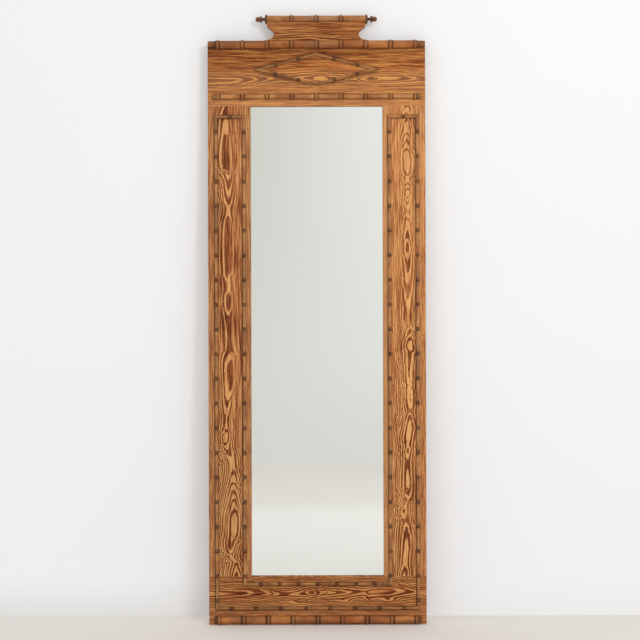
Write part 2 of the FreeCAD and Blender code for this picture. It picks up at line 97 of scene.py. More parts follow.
class Graph:
    """The node tree of a material or a world, with short calls for the nodes that the finishes use."""

    def __init__(self, owner: Union[bpy.types.Material, bpy.types.World]) -> None:
        """Starts an empty tree.

        Args:
            owner: the material or world that it belongs to.
        """
        self.owner = owner
        self.owner.use_nodes = True
        self.tree = self.owner.node_tree
        self.tree.nodes.clear()

    def add(self, kind: str, inputs: Optional[dict] = None, **settings: object) -> bpy.types.Node:
        """Adds a node.

        Args:
            kind: the node's type.
            inputs: fields, numbers or colours by the input's name or number.
            settings: the node's own options.

        Returns:
            The node.
        """
        node = self.tree.nodes.new(kind)
        for option, value in settings.items():
            setattr(node, option, value)
        for key, value in (inputs or {}).items():
            if isinstance(value, Field):
                self.tree.links.new(value.socket, node.inputs[key])
            else:
                node.inputs[key].default_value = value
        return node

    def field(
        self,
        kind: str,
        inputs: Optional[dict] = None,
        output: Union[int, str] = 0,
        **settings: object,
    ) -> "Field":
        """Adds a node and gives one of its outputs."""
        return Field(self, self.add(kind, inputs, **settings).outputs[output])

    def split(self, vector: "Field") -> tuple["Field", ...]:
        """Takes a vector apart into its three parts."""
        node = self.add("ShaderNodeSeparateXYZ", {0: vector})
        return tuple(Field(self, output) for output in node.outputs)

    def place(self) -> tuple["Field", ...]:
        """Where a point of the surface lies in the mirror's own frame: X, Y and Z in metres."""
        return self.split(self.field("ShaderNodeTexCoord", output="Object"))

    def attribute(self, name: str, output: str = "Fac") -> "Field":
        """One of the mesh's own attributes."""
        return self.field("ShaderNodeAttribute", output=output, attribute_name=name)

    def seen(self) -> "Field":
        """1 for what the camera or the plate sees, and 0 for what only gives light."""
        path = self.add("ShaderNodeLightPath").outputs
        return Field(self, path["Is Camera Ray"]).most(Field(self, path["Is Glossy Ray"]))

    def noise(self, layer: Layer, parts: Sequence[Feed], seed: float = 0.0) -> "Field":
        """Smooth noise, about 0 to 1.

        Args:
            layer: how fast it changes.
            parts: the three coordinates.
            seed: a further start along the third one.

        Returns:
            The noise.
        """
        starts = (*layer.start[:2], layer.start[2] + seed)
        spots = [
            part * rate + start if start else part * rate
            for part, rate, start in zip(parts, layer.rates, starts)
        ]
        inputs = {
            "Vector": self.field("ShaderNodeCombineXYZ", dict(enumerate(spots))),
            "Scale": 1.0,
            "Detail": layer.detail,
            "Roughness": layer.rough,
        }
        return self.field("ShaderNodeTexNoise", inputs)

    def random(self, value: "Field") -> "Field":
        """A random number from 0 to 1 for each value."""
        return self.field("ShaderNodeTexWhiteNoise", {"W": value}, "Value", noise_dimensions="1D")

    def curve(self, value: "Field", points: Points) -> "Field":
        """A smooth curve through given points.

        Args:
            value: the coordinate that the points' first numbers are measured in.
            points: coordinate and height of each point, in order.

        Returns:
            The curve's height.
        """
        place, height = np.array(points).T
        first, room = float(place.min()), float(np.ptp(place))
        low, reach = float(height.min()), max(float(np.ptp(height)), TINY)
        node = self.add("ShaderNodeFloatCurve", {"Value": (value - first) / room})
        line = node.mapping.curves[0]
        spots = list(zip((place - first) / room, (height - low) / reach))
        line.points[0].location, line.points[-1].location = spots[0], spots[-1]
        for along, up in spots[1:-1]:
            line.points.new(float(along), float(up))
        for point in line.points:
            point.handle_type = "AUTO_CLAMPED"
        node.mapping.update()
        return Field(self, node.outputs[0]) * reach + low

    def mix(self, share: Feed, first: Feed, second: Feed, blend: str = "MIX") -> "Field":
        """Blends two colours.

        Args:
            share: 0 for the first, 1 for the second.
            first: a colour.
            second: a colour.
            blend: how the second is laid over the first.

        Returns:
            The colour between them.
        """
        inputs = {0: share, MIX_FIRST: first, MIX_SECOND: second}
        settings = {"data_type": "RGBA", "blend_type": blend, "clamp_factor": True}
        return self.field("ShaderNodeMix", inputs, MIX_RESULT, **settings)

    def ramp(self, value: "Field", stops: Sequence[tuple[float, Rgb]]) -> "Field":
        """A colour for each value, blended between stops.

        Args:
            value: from 0 to 1.
            stops: value and colour of each stop, in order.

        Returns:
            The colour.
        """
        node = self.add("ShaderNodeValToRGB", {0: value})
        elements = node.color_ramp.elements
        for position, _ in stops[2:]:
            elements.new(position)
        for element, (position, colour) in zip(elements, stops):
            element.position = position
            element.color = linear(colour)
        return Field(self, node.outputs["Color"])

    def tinted(self, colour: Feed, amount: "Field", tint: Triple = (1.0, 1.0, 1.0)) -> "Field":
        """Makes a colour lighter or darker.

        Args:
            colour: the colour.
            amount: what each channel is multiplied by.
            tint: a further factor for red, green and blue.

        Returns:
            The changed colour.
        """
        shares = {index: amount * share for index, share in enumerate(tint)}
        factor = self.field("ShaderNodeCombineXYZ", shares)
        return self.mix(1.0, colour, factor, "MULTIPLY")

    def bump(self, height: "Field", relief: float) -> "Field":
        """A normal tilted by relief too fine to model; a height of 1 measures relief metres."""
        return self.field("ShaderNodeBump", {"Height": height, "Strength": 1.0, "Distance": relief})

    def finish(self, **inputs: Feed) -> bpy.types.Material:
        """Ends a material's tree in one shader; its inputs are named with underscores for spaces."""
        named = {key.replace("_", " "): value for key, value in inputs.items()}
        return self.surface(self.field("ShaderNodeBsdfPrincipled", named))

    def surface(self, shader: "Field") -> bpy.types.Material:
        """Ends a material's tree in the given shader."""
        self.add("ShaderNodeOutputMaterial", {"Surface": shader})
        return self.owner


@dataclass(frozen=True)
class Field:
    """A value that varies over a surface; arithmetic on it adds nodes to its graph."""

    graph: Graph
    socket: bpy.types.NodeSocket

    def math(self, operation: str, *others: Feed) -> "Field":
        """Runs one sum, with the others after this field."""
        inputs = dict(enumerate((self, *others)))
        return self.graph.field("ShaderNodeMath", inputs, operation=operation)

    def __add__(self, other: Feed) -> "Field":
        """Sum."""
        return self.math("ADD", other)

    def __sub__(self, other: Feed) -> "Field":
        """Difference."""
        return self.math("SUBTRACT", other)

    def __mul__(self, other: Feed) -> "Field":
        """Product."""
        return self.math("MULTIPLY", other)

    def __truediv__(self, other: Feed) -> "Field":
        """Quotient."""
        return self.math("DIVIDE", other)

    def size(self) -> "Field":
        """The value without its sign."""
        return self.math("ABSOLUTE")

    def most(self, other: Feed) -> "Field":
        """The larger of two."""
        return self.math("MAXIMUM", other)

    def least(self, other: Feed) -> "Field":
        """The smaller of two."""
        return self.math("MINIMUM", other)

    def beyond(self, other: "Field") -> "Field":
        """The length of a right triangle's long side, with these two as the short ones."""
        return (self * self + other * other).math("SQRT")

    def swing(self) -> "Field":
        """A noise about zero instead of a half."""
        return self - 0.5

    def between(self, low: float, high: float) -> "Field":
        """Low where the value is 0, and high where it is 1."""
        return self * (high - low) + low

    def rise(self, low: Feed, high: Feed) -> "Field":
        """An easy step from 0 at low to 1 at high."""
        inputs = {"Value": self, "From Min": low, "From Max": high}
        return self.graph.field("ShaderNodeMapRange", inputs, interpolation_type="SMOOTHSTEP")

    def fall(self, low: Feed, high: Feed) -> "Field":
        """An easy step from 1 at low to 0 at high."""
        return self.rise(low, high).between(1.0, 0.0)


# Finishes


class Grain(Enum):
    """Which way a board's fibres run."""

    UPRIGHT = "upright"
    LEVEL = "level"


@dataclass(frozen=True)
class Knot:
    """An eye in the figure: rings close round it.

    The places are along and across the grain; reach is the eye's half-size that way. Rings is how
    many rings it draws in, and core how much of it is dark knot wood.
    """

    along: float
    across: float
    reach_along: float
    reach_across: float
    rings: float
    core: float = 0.0


@dataclass(frozen=True)
class Strip:
    """The footprint of a straight bead or rod on the boards: middle, half-sizes, depth of dust and painted
    shade, slant.
    """

    x: float
    z: float
    half_x: float
    half_z: float
    dirt_and_shade: float
    slant: float = 0.0


@dataclass(frozen=True)
class Figure:
    """How one board was sawn from its log.

    The log's heart lies behind the face. For places along the grain, heart gives its place across the
    board, depth its distance behind the face, and rings how many rings lie between them; ovals close
    where rings turns back, and peaks point along the grain where it climbs or falls. Late_from is how
    much of each ring is early wood, contrast how strongly the rings show, and torn how ragged they are.
    Bold is how far from the heart the figure stays strong, measured from lean to the left of it or
    below it; beyond that, lively is how strong the streaks are. Tone is the board's own tint, shade its
    lightness across the grain, run its lightness along it, and fade how far light has bleached it
    across the grain.
    """

    name: str
    grain: Grain
    heart: Points
    depth: Points
    rings: Points
    tone: Triple
    shade: Points
    run: Points
    fade: Points
    late_from: Points
    bold: Points
    lean: Points = ((0.0, 0.0), (1.0, 0.0))
    torn: Points = ((0.0, 1.0), (1.0, 1.0))
    contrast: Points = ((0.0, 1.0), (1.0, 1.0))
    lively: float = 0.66
    spacing: float = 0.0058
    knots: tuple[Knot, ...] = ()
    seed: float = 0.0

    def directions(self, graph: Graph) -> tuple[Field, Field, Field]:
        """Places along the grain, across it, and from front to back."""
        x, y, z = graph.place()
        return (z, x, y) if self.grain is Grain.UPRIGHT else (x, z, y)


@dataclass(frozen=True)
class PitchPine:
    """Aged pitch pine under wax: gold early wood, red-brown late wood, and dust and painted shade beside
    the beads.

    The layers of noise run across the grain, along it and into the board. Slow, quick and ragged bend the
    rings across the grain, and push and ragged along it; a sway is how far, in metres. A step is where a
    layer changes from 0 to 1. Calm is the quiet wood far from the heart, and raw the board's sawn back.
    """

    early: Rgb = (211, 156, 95)
    amber: Rgb = (184, 121, 69)
    russet: Rgb = (142, 80, 40)
    late: Rgb = (100, 48, 18)
    stops: tuple[float, ...] = (0.0, 0.36, 0.72, 1.0)
    knot: Rgb = (92, 46, 20)
    knot_step: Span = (0.42, 0.70)
    # colour of the dust and painted shade along the feet of the beads
    dirt_and_shade: Rgb = (50, 29, 15)
    bare: Rgb = (150, 112, 78)
    faded: Rgb = (200, 148, 100)

    slow: Layer = Layer((9.0, 2.6, 9.0), 1.0)
    slow_sway: float = 0.012
    quick: Layer = Layer((55.0, 22.0, 55.0), 3.0)
    quick_sway: float = 0.0046
    push: Layer = Layer((30.0, 7.0, 30.0))
    push_sway: float = 0.036
    ragged: Layer = Layer((150.0, 70.0, 150.0), rough=0.6)
    torn_sway: Span = (0.0036, 0.024)
    knot_sway: Span = (0.0024, 0.009)

    calm_step: Span = (0.6, 1.8)
    calm_share: float = 0.68
    calm_late: float = 0.5
    uneven: Layer = Layer((0.55, 22.0, 1.1))
    uneven_rings: Span = (0.9, 2.3)
    late_draw: float = 0.22
    late_ease: float = 0.20
    late_depth: Span = (0.78, 1.08)
    ring_edge: Span = (0.95, 1.0)
    mean_late: float = 0.34

    fibre: Layer = Layer((900.0, 16.0, 900.0), 3.0, 0.6)
    broad: Layer = Layer((130.0, 6.0, 130.0), rough=0.6)
    streak: Layer = Layer((270.0, 14.0, 270.0), 3.0, 0.65)
    line_step: Span = (0.36, 0.64)
    fleck: Layer = Layer((520.0, 26.0, 520.0), 1.0)
    fleck_step: Span = (0.66, 0.76)
    mellow: Layer = Layer((16.0, 3.4, 1.0), 3.0)
    ring_share: float = 0.88
    broad_share: float = 0.44
    streak_share: float = 0.58
    streaks_at_heart: float = 0.72
    mellow_share: float = 0.25
    ground: float = 0.08
    fibre_light: float = 0.34
    mellow_light: float = 0.26
    fleck_light: float = -0.22

    raw_skin: Span = (0.0012, 0.0004)
    raw_share: float = 0.85
    raw_light: Span = (0.7, 1.2)
    raw_late: float = 0.5
    roughness: float = 0.50
    late_roughness: float = -0.10
    fibre_roughness: float = 0.22
    raw_roughness: float = 0.3
    shine: float = 0.10
    relief: float = 0.00016
    late_relief: float = 0.55

    # the line of dust and painted shade: its shift left and down to where shade falls, its fade and its
    # patches
    dirt_and_shade_shift: float = 0.0010
    dirt_and_shade_reach: Span = (0.0002, 0.0030)
    patchy: Layer = Layer((6.0, 6.0, 6.0), 3.0, 0.6)
    patch_step: Span = (0.3, 0.7)
    patch_dirt_and_shade: Span = (0.3, 0.9)

    def rings(self, graph: Graph, figure: Figure, face: float) -> tuple[Field, Field, Field]:
        """Growth rings where the board's surface cuts them.

        The ring count is the distance to the heart in ring widths, plus the figure's own count: with
        across a, depth d and the heart at (h, p): (sqrt((a - h)^2 + (p - d)^2) - p) / spacing + rings.

        Args:
            graph: the material's graph.
            figure: how the board was sawn.
            face: Y of the board's face.

        Returns:
            The ring count, the distance from the heart across the board, and the knots' cores.
        """
        along, across, y = figure.directions(graph)
        depth = y - face
        parts, seed = (across, along, depth), figure.seed
        slow = graph.noise(self.slow, parts, seed).swing()
        quick = graph.noise(self.quick, parts, seed).swing()
        push = graph.noise(self.push, parts, -seed).swing()
        ragged = graph.noise(self.ragged, parts, seed).swing()
        torn = ragged * graph.curve(along, figure.torn)
        wavy_across = across + slow * self.slow_sway + quick * self.quick_sway + torn * self.torn_sway[0]
        wavy_along = along + push * self.push_sway + torn * self.torn_sway[1]
        offset = wavy_across - graph.curve(wavy_along, figure.heart)
        behind = graph.curve(wavy_along, figure.depth)
        count = (offset.beyond(behind - depth) - behind) / figure.spacing
        count = count + graph.curve(wavy_along, figure.rings)
        core = offset * 0.0
        for knot in figure.knots:
            by_across = (across - knot.across + ragged * self.knot_sway[0]) / knot.reach_across
            by_along = (along - knot.along + ragged * self.knot_sway[1]) / knot.reach_along
            swirl = ((by_along * by_along + by_across * by_across) * -1.0).math("EXPONENT")
            count = count - swirl * knot.rings
            core = core + swirl.rise(*self.knot_step) * knot.core
        return count, offset, core

    def late_wood(
        self, graph: Graph, figure: Figure, count: Field, offset: Field
    ) -> tuple[Field, Field]:
        """How much late wood shows: each ring darkens slowly, and ends at a sharp edge.

        Args:
            graph: the material's graph.
            figure: how the board was sawn.
            count: the ring count.
            offset: the distance from the heart across the board.

        Returns:
            The share of late wood, and how calm the figure is: 0 near the heart, and 1 far from it.
        """
        along, across, _ = figure.directions(graph)
        apart = (offset + graph.curve(along, figure.lean)).size() / graph.curve(along, figure.bold)
        calm = apart.rise(*self.calm_step)
        uneven = graph.noise(self.uneven, (count, across, along), figure.seed).swing()
        count = count + uneven * calm.between(*self.uneven_rings)
        ring = count.math("FLOOR")
        phase = count - ring
        draw = graph.random(ring + figure.seed)
        start = draw * self.late_draw + graph.curve(along, figure.late_from)
        late = phase.rise(start, start + self.late_ease) * phase.fall(*self.ring_edge)
        late = late * draw.between(*self.late_depth)
        late = late - (late - self.calm_late) * (calm * self.calm_share)
        late = (late - self.mean_late) * graph.curve(along, figure.contrast) + self.mean_late
        return late, calm

    def material(
        self, figure: Figure, face: float, back: float, strips: Sequence[Strip]
    ) -> bpy.types.Material:
        """Makes one board's material.

        Args:
            figure: how the board was sawn.
            face: Y of the board's face.
            back: Y of its back.
            strips: the beads and rods that lie on it.

        Returns:
            The material.
        """
        graph = Graph(bpy.data.materials.new(f"pitch_pine_{figure.name}"))
        along, across, y = figure.directions(graph)
        parts, seed = (across, along, y), figure.seed
        count, offset, core = self.rings(graph, figure, face)
        late, calm = self.late_wood(graph, figure, count, offset)
        fibre = graph.noise(self.fibre, parts)
        broad = graph.noise(self.broad, parts, seed).rise(*self.line_step).swing()
        streak = graph.noise(self.streak, parts, seed).rise(*self.line_step).swing()
        fleck = graph.noise(self.fleck, parts).rise(*self.fleck_step)
        mellow = graph.noise(self.mellow, (across, along, seed)).swing()
        lines = broad * self.broad_share + streak * self.streak_share
        late = late * self.ring_share + lines * calm.between(self.streaks_at_heart, figure.lively)
        late = late + mellow * self.mellow_share + self.ground
        shades = (self.early, self.amber, self.russet, self.late)
        colour = graph.ramp(late, tuple(zip(self.stops, shades)))
        colour = graph.mix(core, colour, linear(self.knot))
        level = graph.curve(across, figure.shade) * graph.curve(along, figure.run)
        level = level * (fibre.swing() * self.fibre_light + 1.0)
        level = level * (mellow * self.mellow_light + 1.0) * (fleck * self.fleck_light + 1.0)
        colour = graph.tinted(colour, level, figure.tone)
        colour = graph.mix(graph.curve(across, figure.fade), colour, linear(self.faded))
        # painted shade, with some dust, along the feet of the beads
        colour = graph.mix(self.dirt_and_shade_lines(graph, strips), colour, linear(self.dirt_and_shade))
        raw = y.rise(back - self.raw_skin[0], back - self.raw_skin[1])
        dull = graph.mix(late * self.raw_late, linear(self.bare), linear(self.russet))
        dull = graph.tinted(dull, fibre.between(*self.raw_light))
        colour = graph.mix(raw * self.raw_share, colour, dull)
        rough = late * self.late_roughness + fibre.swing() * self.fibre_roughness
        rough = rough + raw * self.raw_roughness + self.roughness
        height = late * self.late_relief + fibre * (1.0 - self.late_relief)
        normal = graph.bump(height, self.relief)
        return graph.finish(
            Base_Color=colour, Roughness=rough, Normal=normal, Specular_IOR_Level=self.shine
        )

    def dirt_and_shade_lines(self, graph: Graph, strips: Sequence[Strip]) -> Field:
        """Old wax, dust and painted shade along the feet of the beads.

        For each strip the distance outside its footprint gives a dark line that fades in 3 mm: some dust,
        and painted shade where the bead meets the board, moved a little to the left and below, away from
        the lamp.

        Args:
            graph: the material's graph.
            strips: the footprints.

        Returns:
            How dark the wood is, from 0 to 1.
        """
        x, y, z = graph.place()
        patchy = graph.noise(self.patchy, (x, y, z)).rise(*self.patch_step)
        dark = x * 0.0
        for strip in strips:
            # painted shade: the footprint is moved left and down, away from the lamp
            aside, above = x - strip.x + self.dirt_and_shade_shift, z - strip.z + self.dirt_and_shade_shift
            turn_x, turn_z = math.cos(strip.slant), math.sin(strip.slant)
            out_x = ((aside * turn_x + above * turn_z).size() - strip.half_x).most(0.0)
            out_z = ((above * turn_x - aside * turn_z).size() - strip.half_z).most(0.0)
            dark = dark.most(out_x.beyond(out_z).fall(*self.dirt_and_shade_reach) * strip.dirt_and_shade)
        return dark * patchy.between(*self.patch_dirt_and_shade)


@dataclass(frozen=True)
class TurnedPine:
    """Pine off the lathe: red-gold lengths with ashen patches, dark quirks, worn rings and painted shade at
    the feet of split turnings.

    The layers of noise run along the turning, and twice across it. Depth is how dark its quirks and that
    painted shade are.
    """

    name: str
    honey: Rgb = (190, 121, 62)
    chestnut: Rgb = (156, 88, 42)
    ash: Rgb = (142, 92, 54)
    worn: Rgb = (128, 84, 52)
    # the dark of the quirks, also used for the painted shade at a split turning's foot
    quirk: Rgb = (44, 25, 14)
    depth: float = 0.95
    wear: float = 0.1
    veins: float = 1.05
    mottle: float = 0.8
    light: float = 0.97

    length: Layer = Layer((10.0, 12.0, 12.0))
    length_step: Span = (0.40, 0.60)
    age: Layer = Layer((6.0, 9.0, 9.0), start=(3.0, 0.0, 0.0))
    age_step: Span = (0.48, 0.62)
    age_cloud: Span = (0.45, 0.95)
    cloud: Layer = Layer((34.0, 60.0, 60.0), 3.0, 0.6, (7.0, 0.0, 0.0))
    cloud_wear: float = 0.6
    cloud_dark: Span = (0.75, 1.25)
    vein: Layer = Layer((7.0, 190.0, 190.0), 3.0, 0.62)
    fibre: Layer = Layer((22.0, 1300.0, 1300.0))
    uneven: Layer = Layer((38.0, 3.0, 3.0), 1.0, start=(2.0, 0.0, 0.0))
    uneven_step: Span = (0.35, 0.6)
    uneven_dark: Span = (0.55, 1.15)

    roughness: float = 0.42
    dark_roughness: float = 0.22
    fibre_roughness: float = 0.2
    shine: float = 0.22
    relief: float = 0.00012
    vein_relief: float = 0.5

    def material(self) -> bpy.types.Material:
        """Makes the finish of the turnings.

        Returns:
            The material.
        """
        graph = Graph(bpy.data.materials.new(self.name))
        parts = graph.split(graph.attribute("grain", "Vector"))
        # stain holds the quirks' dark stain and, on split turnings, painted shade at the foot
        stain, crown = graph.attribute("stain"), graph.attribute("crown")
        length = graph.noise(self.length, parts).rise(*self.length_step)
        age = graph.noise(self.age, parts).rise(*self.age_step)
        cloud = graph.noise(self.cloud, parts)
        vein = graph.noise(self.vein, parts)
        fibre = graph.noise(self.fibre, parts)
        uneven = graph.noise(self.uneven, parts).rise(*self.uneven_step)
        colour = graph.mix(length, linear(self.honey), linear(self.chestnut))
        colour = graph.mix(age * cloud.between(*self.age_cloud), colour, linear(self.ash))
        level = vein.swing() * self.veins + cloud.swing() * self.mottle + self.light
        colour = graph.tinted(colour, level)
        colour = graph.mix(crown * (cloud * self.cloud_wear + self.wear), colour, linear(self.worn))
        dark = stain * cloud.between(*self.cloud_dark) * uneven.between(*self.uneven_dark)
        dark = dark.least(1.0) * self.depth
        colour = graph.mix(dark, colour, linear(self.quirk))
        rough = dark * self.dark_roughness + fibre.swing() * self.fibre_roughness + self.roughness
        height = vein * self.vein_relief + fibre * (1.0 - self.vein_relief)
        normal = graph.bump(height, self.relief)
        return graph.finish(
            Base_Color=colour, Roughness=rough, Normal=normal, Specular_IOR_Level=self.shine
        )


RODS = TurnedPine("turned_pine_rods")
STILE_BEADS = TurnedPine(
    "turned_pine_beads",
    honey=(194, 137, 82),
    chestnut=(163, 104, 60),
    ash=(144, 103, 69),
    worn=(94, 64, 44),
    quirk=(62, 38, 23),
    depth=0.9,
    wear=0.5,
    veins=0.8,
)
RAIL_BEADS = TurnedPine(
    "turned_pine_rail_beads",
    honey=(178, 120, 66),
    chestnut=(144, 90, 47),
    ash=(132, 92, 56),
    worn=(88, 60, 41),
    quirk=(58, 35, 21),
    depth=0.9,
    wear=0.5,
    veins=1.2,
)
FRIEZE = TurnedPine(
    "turned_pine_frieze",
    honey=(202, 140, 80),
    chestnut=(170, 106, 58),
    ash=(146, 104, 68),
    worn=(126, 86, 56),
    depth=0.85,
)
DUSTY_CREST = TurnedPine(
    "turned_pine_crest",
    honey=(192, 132, 78),
    chestnut=(166, 106, 60),
    ash=(150, 106, 70),
    worn=(108, 74, 48),
    mottle=1.3,
)


@dataclass(frozen=True)
class RawPine:
    """Sawn pine that was never finished, gone brown and dusty with age."""

    pale: Rgb = (178, 142, 100)
    dark: Rgb = (120, 84, 54)
    dust: Rgb = (132, 118, 100)
    spacing: float = 0.0062
    sway: Layer = Layer((6.0, 1.2, 1.0), 3.0)
    heart_sway: float = 0.05
    buried: Layer = Layer((1.1, 1.0, 1.0), 1.0)
    buried_place: float = 0.5
    buried_reach: float = 0.09
    fibre: Layer = Layer((700.0, 700.0, 14.0), 3.0, 0.6)
    stain: Layer = Layer((5.0, 5.0, 2.0), 4.0, 0.6)
    stain_step: Span = (0.45, 0.75)
    saw_rate: float = 2200.0
    saw_sway: float = 6.0
    late_step: Span = (0.25, 0.85)
    ring_edge: Span = (0.93, 1.0)
    late_share: float = 0.42
    fibre_share: float = 0.6
    ground: float = 0.15
    dust_share: float = 0.55
    rough: Span = (0.66, 0.86)
    shine: float = 0.2
    relief: float = 0.00035
    relief_shares: Triple = (0.5, 0.2, 0.3)

    def material(self, name: str, heart: float, seed: float) -> bpy.types.Material:
        """Makes the material of one sawn piece; its fibres run upright.

        Args:
            name: the material's name.
            heart: X of the log's heart behind the piece.
            seed: moves the pattern.

        Returns:
            The material.
        """
        graph = Graph(bpy.data.materials.new(name))
        x, y, z = graph.place()
        sway = graph.noise(self.sway, (x, z, seed)).swing()
        buried = graph.noise(self.buried, (z, seed, self.buried_place)) * self.buried_reach + y
        count = (x - heart + sway * self.heart_sway).beyond(buried) / self.spacing
        band = count - count.math("FLOOR")
        fibre = graph.noise(self.fibre, (x, y, z), seed)
        saw = (z * self.saw_rate + sway * self.saw_sway).math("PINGPONG", 1.0)
        stain = graph.noise(self.stain, (x, y, z), seed).rise(*self.stain_step)
        late = band.rise(*self.late_step) * band.fall(*self.ring_edge) * self.late_share
        late = late + fibre.swing() * self.fibre_share + self.ground
        colour = graph.mix(late, linear(self.pale), linear(self.dark))
        colour = graph.mix(stain * self.dust_share, colour, linear(self.dust))
        of_fibre, of_saw, of_late = self.relief_shares
        normal = graph.bump(fibre * of_fibre + saw * of_saw + late * of_late, self.relief)
        rough = fibre.between(*self.rough)
        return graph.finish(
            Base_Color=colour, Roughness=rough, Normal=normal, Specular_IOR_Level=self.shine
        )


@dataclass(frozen=True)
class SilveredPlate:
    """Old silvered glass: near-perfect, slightly green, a trace duller towards its edges."""

    silver: Rgb = (243, 245, 242)
    edge: Rgb = (226, 228, 222)
    edge_reach: Span = (0.007, 0.0115)
    haze: Layer = Layer((6.0, 6.0, 3.0), 4.0, 0.6)
    haze_step: Span = (0.45, 0.8)
    haze_wear: Span = (0.2, 1.0)
    roughness: float = 0.004
    haze_roughness: float = 0.012
    worn_roughness: float = 0.03

    def material(self, low: Vector, high: Vector) -> bpy.types.Material:
        """Makes the plate's material.

        Args:
            low: the plate's lowest corner.
            high: its highest corner.

        Returns:
            The material.
        """
        graph = Graph(bpy.data.materials.new("silvered_plate"))
        x, y, z = graph.place()
        middle, reach = (low + high) / 2, (high - low) / 2
        inset_x = (x - middle.x).size() * -1.0 + reach.x
        inset_z = (z - middle.z).size() * -1.0 + reach.z
        haze = graph.noise(self.haze, (x, y, z))
        worn = inset_x.least(inset_z).fall(*self.edge_reach) * haze.between(*self.haze_wear)
        colour = graph.mix(worn, linear(self.silver), linear(self.edge))
        rough = haze.rise(*self.haze_step) * self.haze_roughness + worn * self.worn_roughness
        return graph.finish(Base_Color=colour, Roughness=rough + self.roughness, Metallic=1.0)


@dataclass(frozen=True)
class NailIron:
    """Dull wire-nail iron with a bloom of rust."""

    iron: Rgb = (92, 88, 84)
    rust: Rgb = (98, 58, 36)
    bloom: Layer = Layer((420.0, 420.0, 420.0), 4.0, 0.65)
    rust_step: Span = (0.42, 0.62)
    rough: Span = (0.42, 0.77)
    metal: Span = (0.9, 0.1)
    relief: float = 0.0001

    def material(self) -> bpy.types.Material:
        """Makes the nails' material.

        Returns:
            The material.
        """
        graph = Graph(bpy.data.materials.new("nail_iron"))
        bloom = graph.noise(self.bloom, graph.place())
        rust = bloom.rise(*self.rust_step)
        return graph.finish(
            Base_Color=graph.mix(rust, linear(self.iron), linear(self.rust)),
            Roughness=rust.between(*self.rough),
            Metallic=rust.between(*self.metal),
            Normal=graph.bump(bloom, self.relief),
        )


# Turned shapes


class Turn(Enum):
    """How much of a turning is left: the round, or half of it with a flat back."""

    ROUND = "round"
    SPLIT = "split"


@dataclass(frozen=True)
class Bamboo:
    """The bamboo pattern: a slightly waisted rod, with a rounded ring between two quirks at each node.

    Soil is how far the dark stain in a quirk spreads, and soil_lean where it is darkest: 0 at the ring's
    foot, and 1 in the middle of the quirk.
    """

    radius: float
    ring_radius: float
    ring_length: float
    waist_share: float = 0.04
    quirk_length_share: float = 0.17
    quirk_depth_share: float = 0.34
    soil: float = 1.5
    soil_lean: float = 1.0
    steps_per_node: int = 33
    step_between: float = 0.006
    clear_share: float = 0.52
    decimals: int = 6

    @property
    def foot(self) -> float:
        """Half the ring's length inside its quirks."""
        return self.ring_length * (0.5 - self.quirk_length_share)

    def stations(self, places: np.ndarray, low: float, high: float) -> np.ndarray:
        """Places along the axis, closer together at the nodes.

        Args:
            places: the middles of the nodes.
            low: where the pattern starts.
            high: where it ends.

        Returns:
            The places, in order.
        """
        within = np.linspace(-0.5, 0.5, self.steps_per_node) * self.ring_length
        at_nodes = (places[:, None] + within).ravel()
        count = max(2, int((high - low) / self.step_between))
        between = np.linspace(low, high, count)
        clear = np.abs(between[:, None] - places).min(axis=1) > self.ring_length * self.clear_share
        kept = np.concatenate([[low, high], at_nodes, between[clear]])
        kept = kept[(kept >= low) & (kept <= high)]
        return np.unique(np.round(kept, self.decimals))

    def outline(self, places: np.ndarray, low: float, high: float) -> "Outline":
        """The turned outline: rings and quirks are parabolas in the distance to the nearest node.

        Args:
            places: the middles of the nodes.
            low: where the pattern starts.
            high: where it ends.

        Returns:
            The outline, with how dark the quirks are and how far up a ring's crown each station is.
        """
        stations = self.stations(places, low, high)
        near = np.abs(stations[:, None] - places).min(axis=1)
        half = self.ring_length / 2
        quirk = self.ring_length * self.quirk_length_share
        into_quirk = (near - self.foot - quirk / 2) / (quirk / 2)
        rise = self.ring_radius - self.radius
        ring = self.radius + rise * (1 - (near / self.foot) ** 2)
        hollow = self.radius - rise * self.quirk_depth_share * (1 - into_quirk**2)
        pitch = np.diff(places).min() if len(places) > 1 else np.inf
        inside = (stations > places[0]) & (stations < places[-1])
        share = np.clip((near - half) / (pitch / 2 - half), 0, 1) * inside
        rod = self.radius * (1 - self.waist_share * (1 - (1 - share) ** 2))
        radius = np.where(near < self.foot, ring, np.where(near < half, hollow, rod))
        stain = np.exp(-(((near - self.foot) / (quirk / 2) - self.soil_lean) / self.soil) ** 2)
        crown = np.clip(1 - (near / self.foot) ** 2, 0, 1)
        return Outline(stations, radius, stain, crown)


@dataclass(frozen=True)
class Outline:
    """Half the section of a turning: along its axis, its radius, how stained it is and how worn."""

    along: np.ndarray
    radius: np.ndarray
    stain: np.ndarray
    crown: np.ndarray

    def columns(self) -> tuple[np.ndarray, ...]:
        """The four columns."""
        return self.along, self.radius, self.stain, self.crown

    def then(self, other: "Outline") -> "Outline":
        """This outline with another after it."""
        pairs = zip(self.columns(), other.columns())
        return Outline(*(np.concatenate(pair) for pair in pairs))

    def mirrored(self) -> "Outline":
        """The same outline the other way round, for a left end."""
        along, *others = (column[::-1] for column in self.columns())
        return Outline(-along, *others)

    def with_ends(self, end: "Outline") -> "Outline":
        """This outline with the same end left and right, given as the right one."""
        return end.mirrored().then(self).then(end)


def plain(points: Points, stain: Sequence[float]) -> Outline:
    """An outline of straight stretches, with along and radius of each corner and how dark it is."""
    along, radius = np.array(points, float).T
    return Outline(along, radius, np.array(stain, float), np.zeros(len(along)))


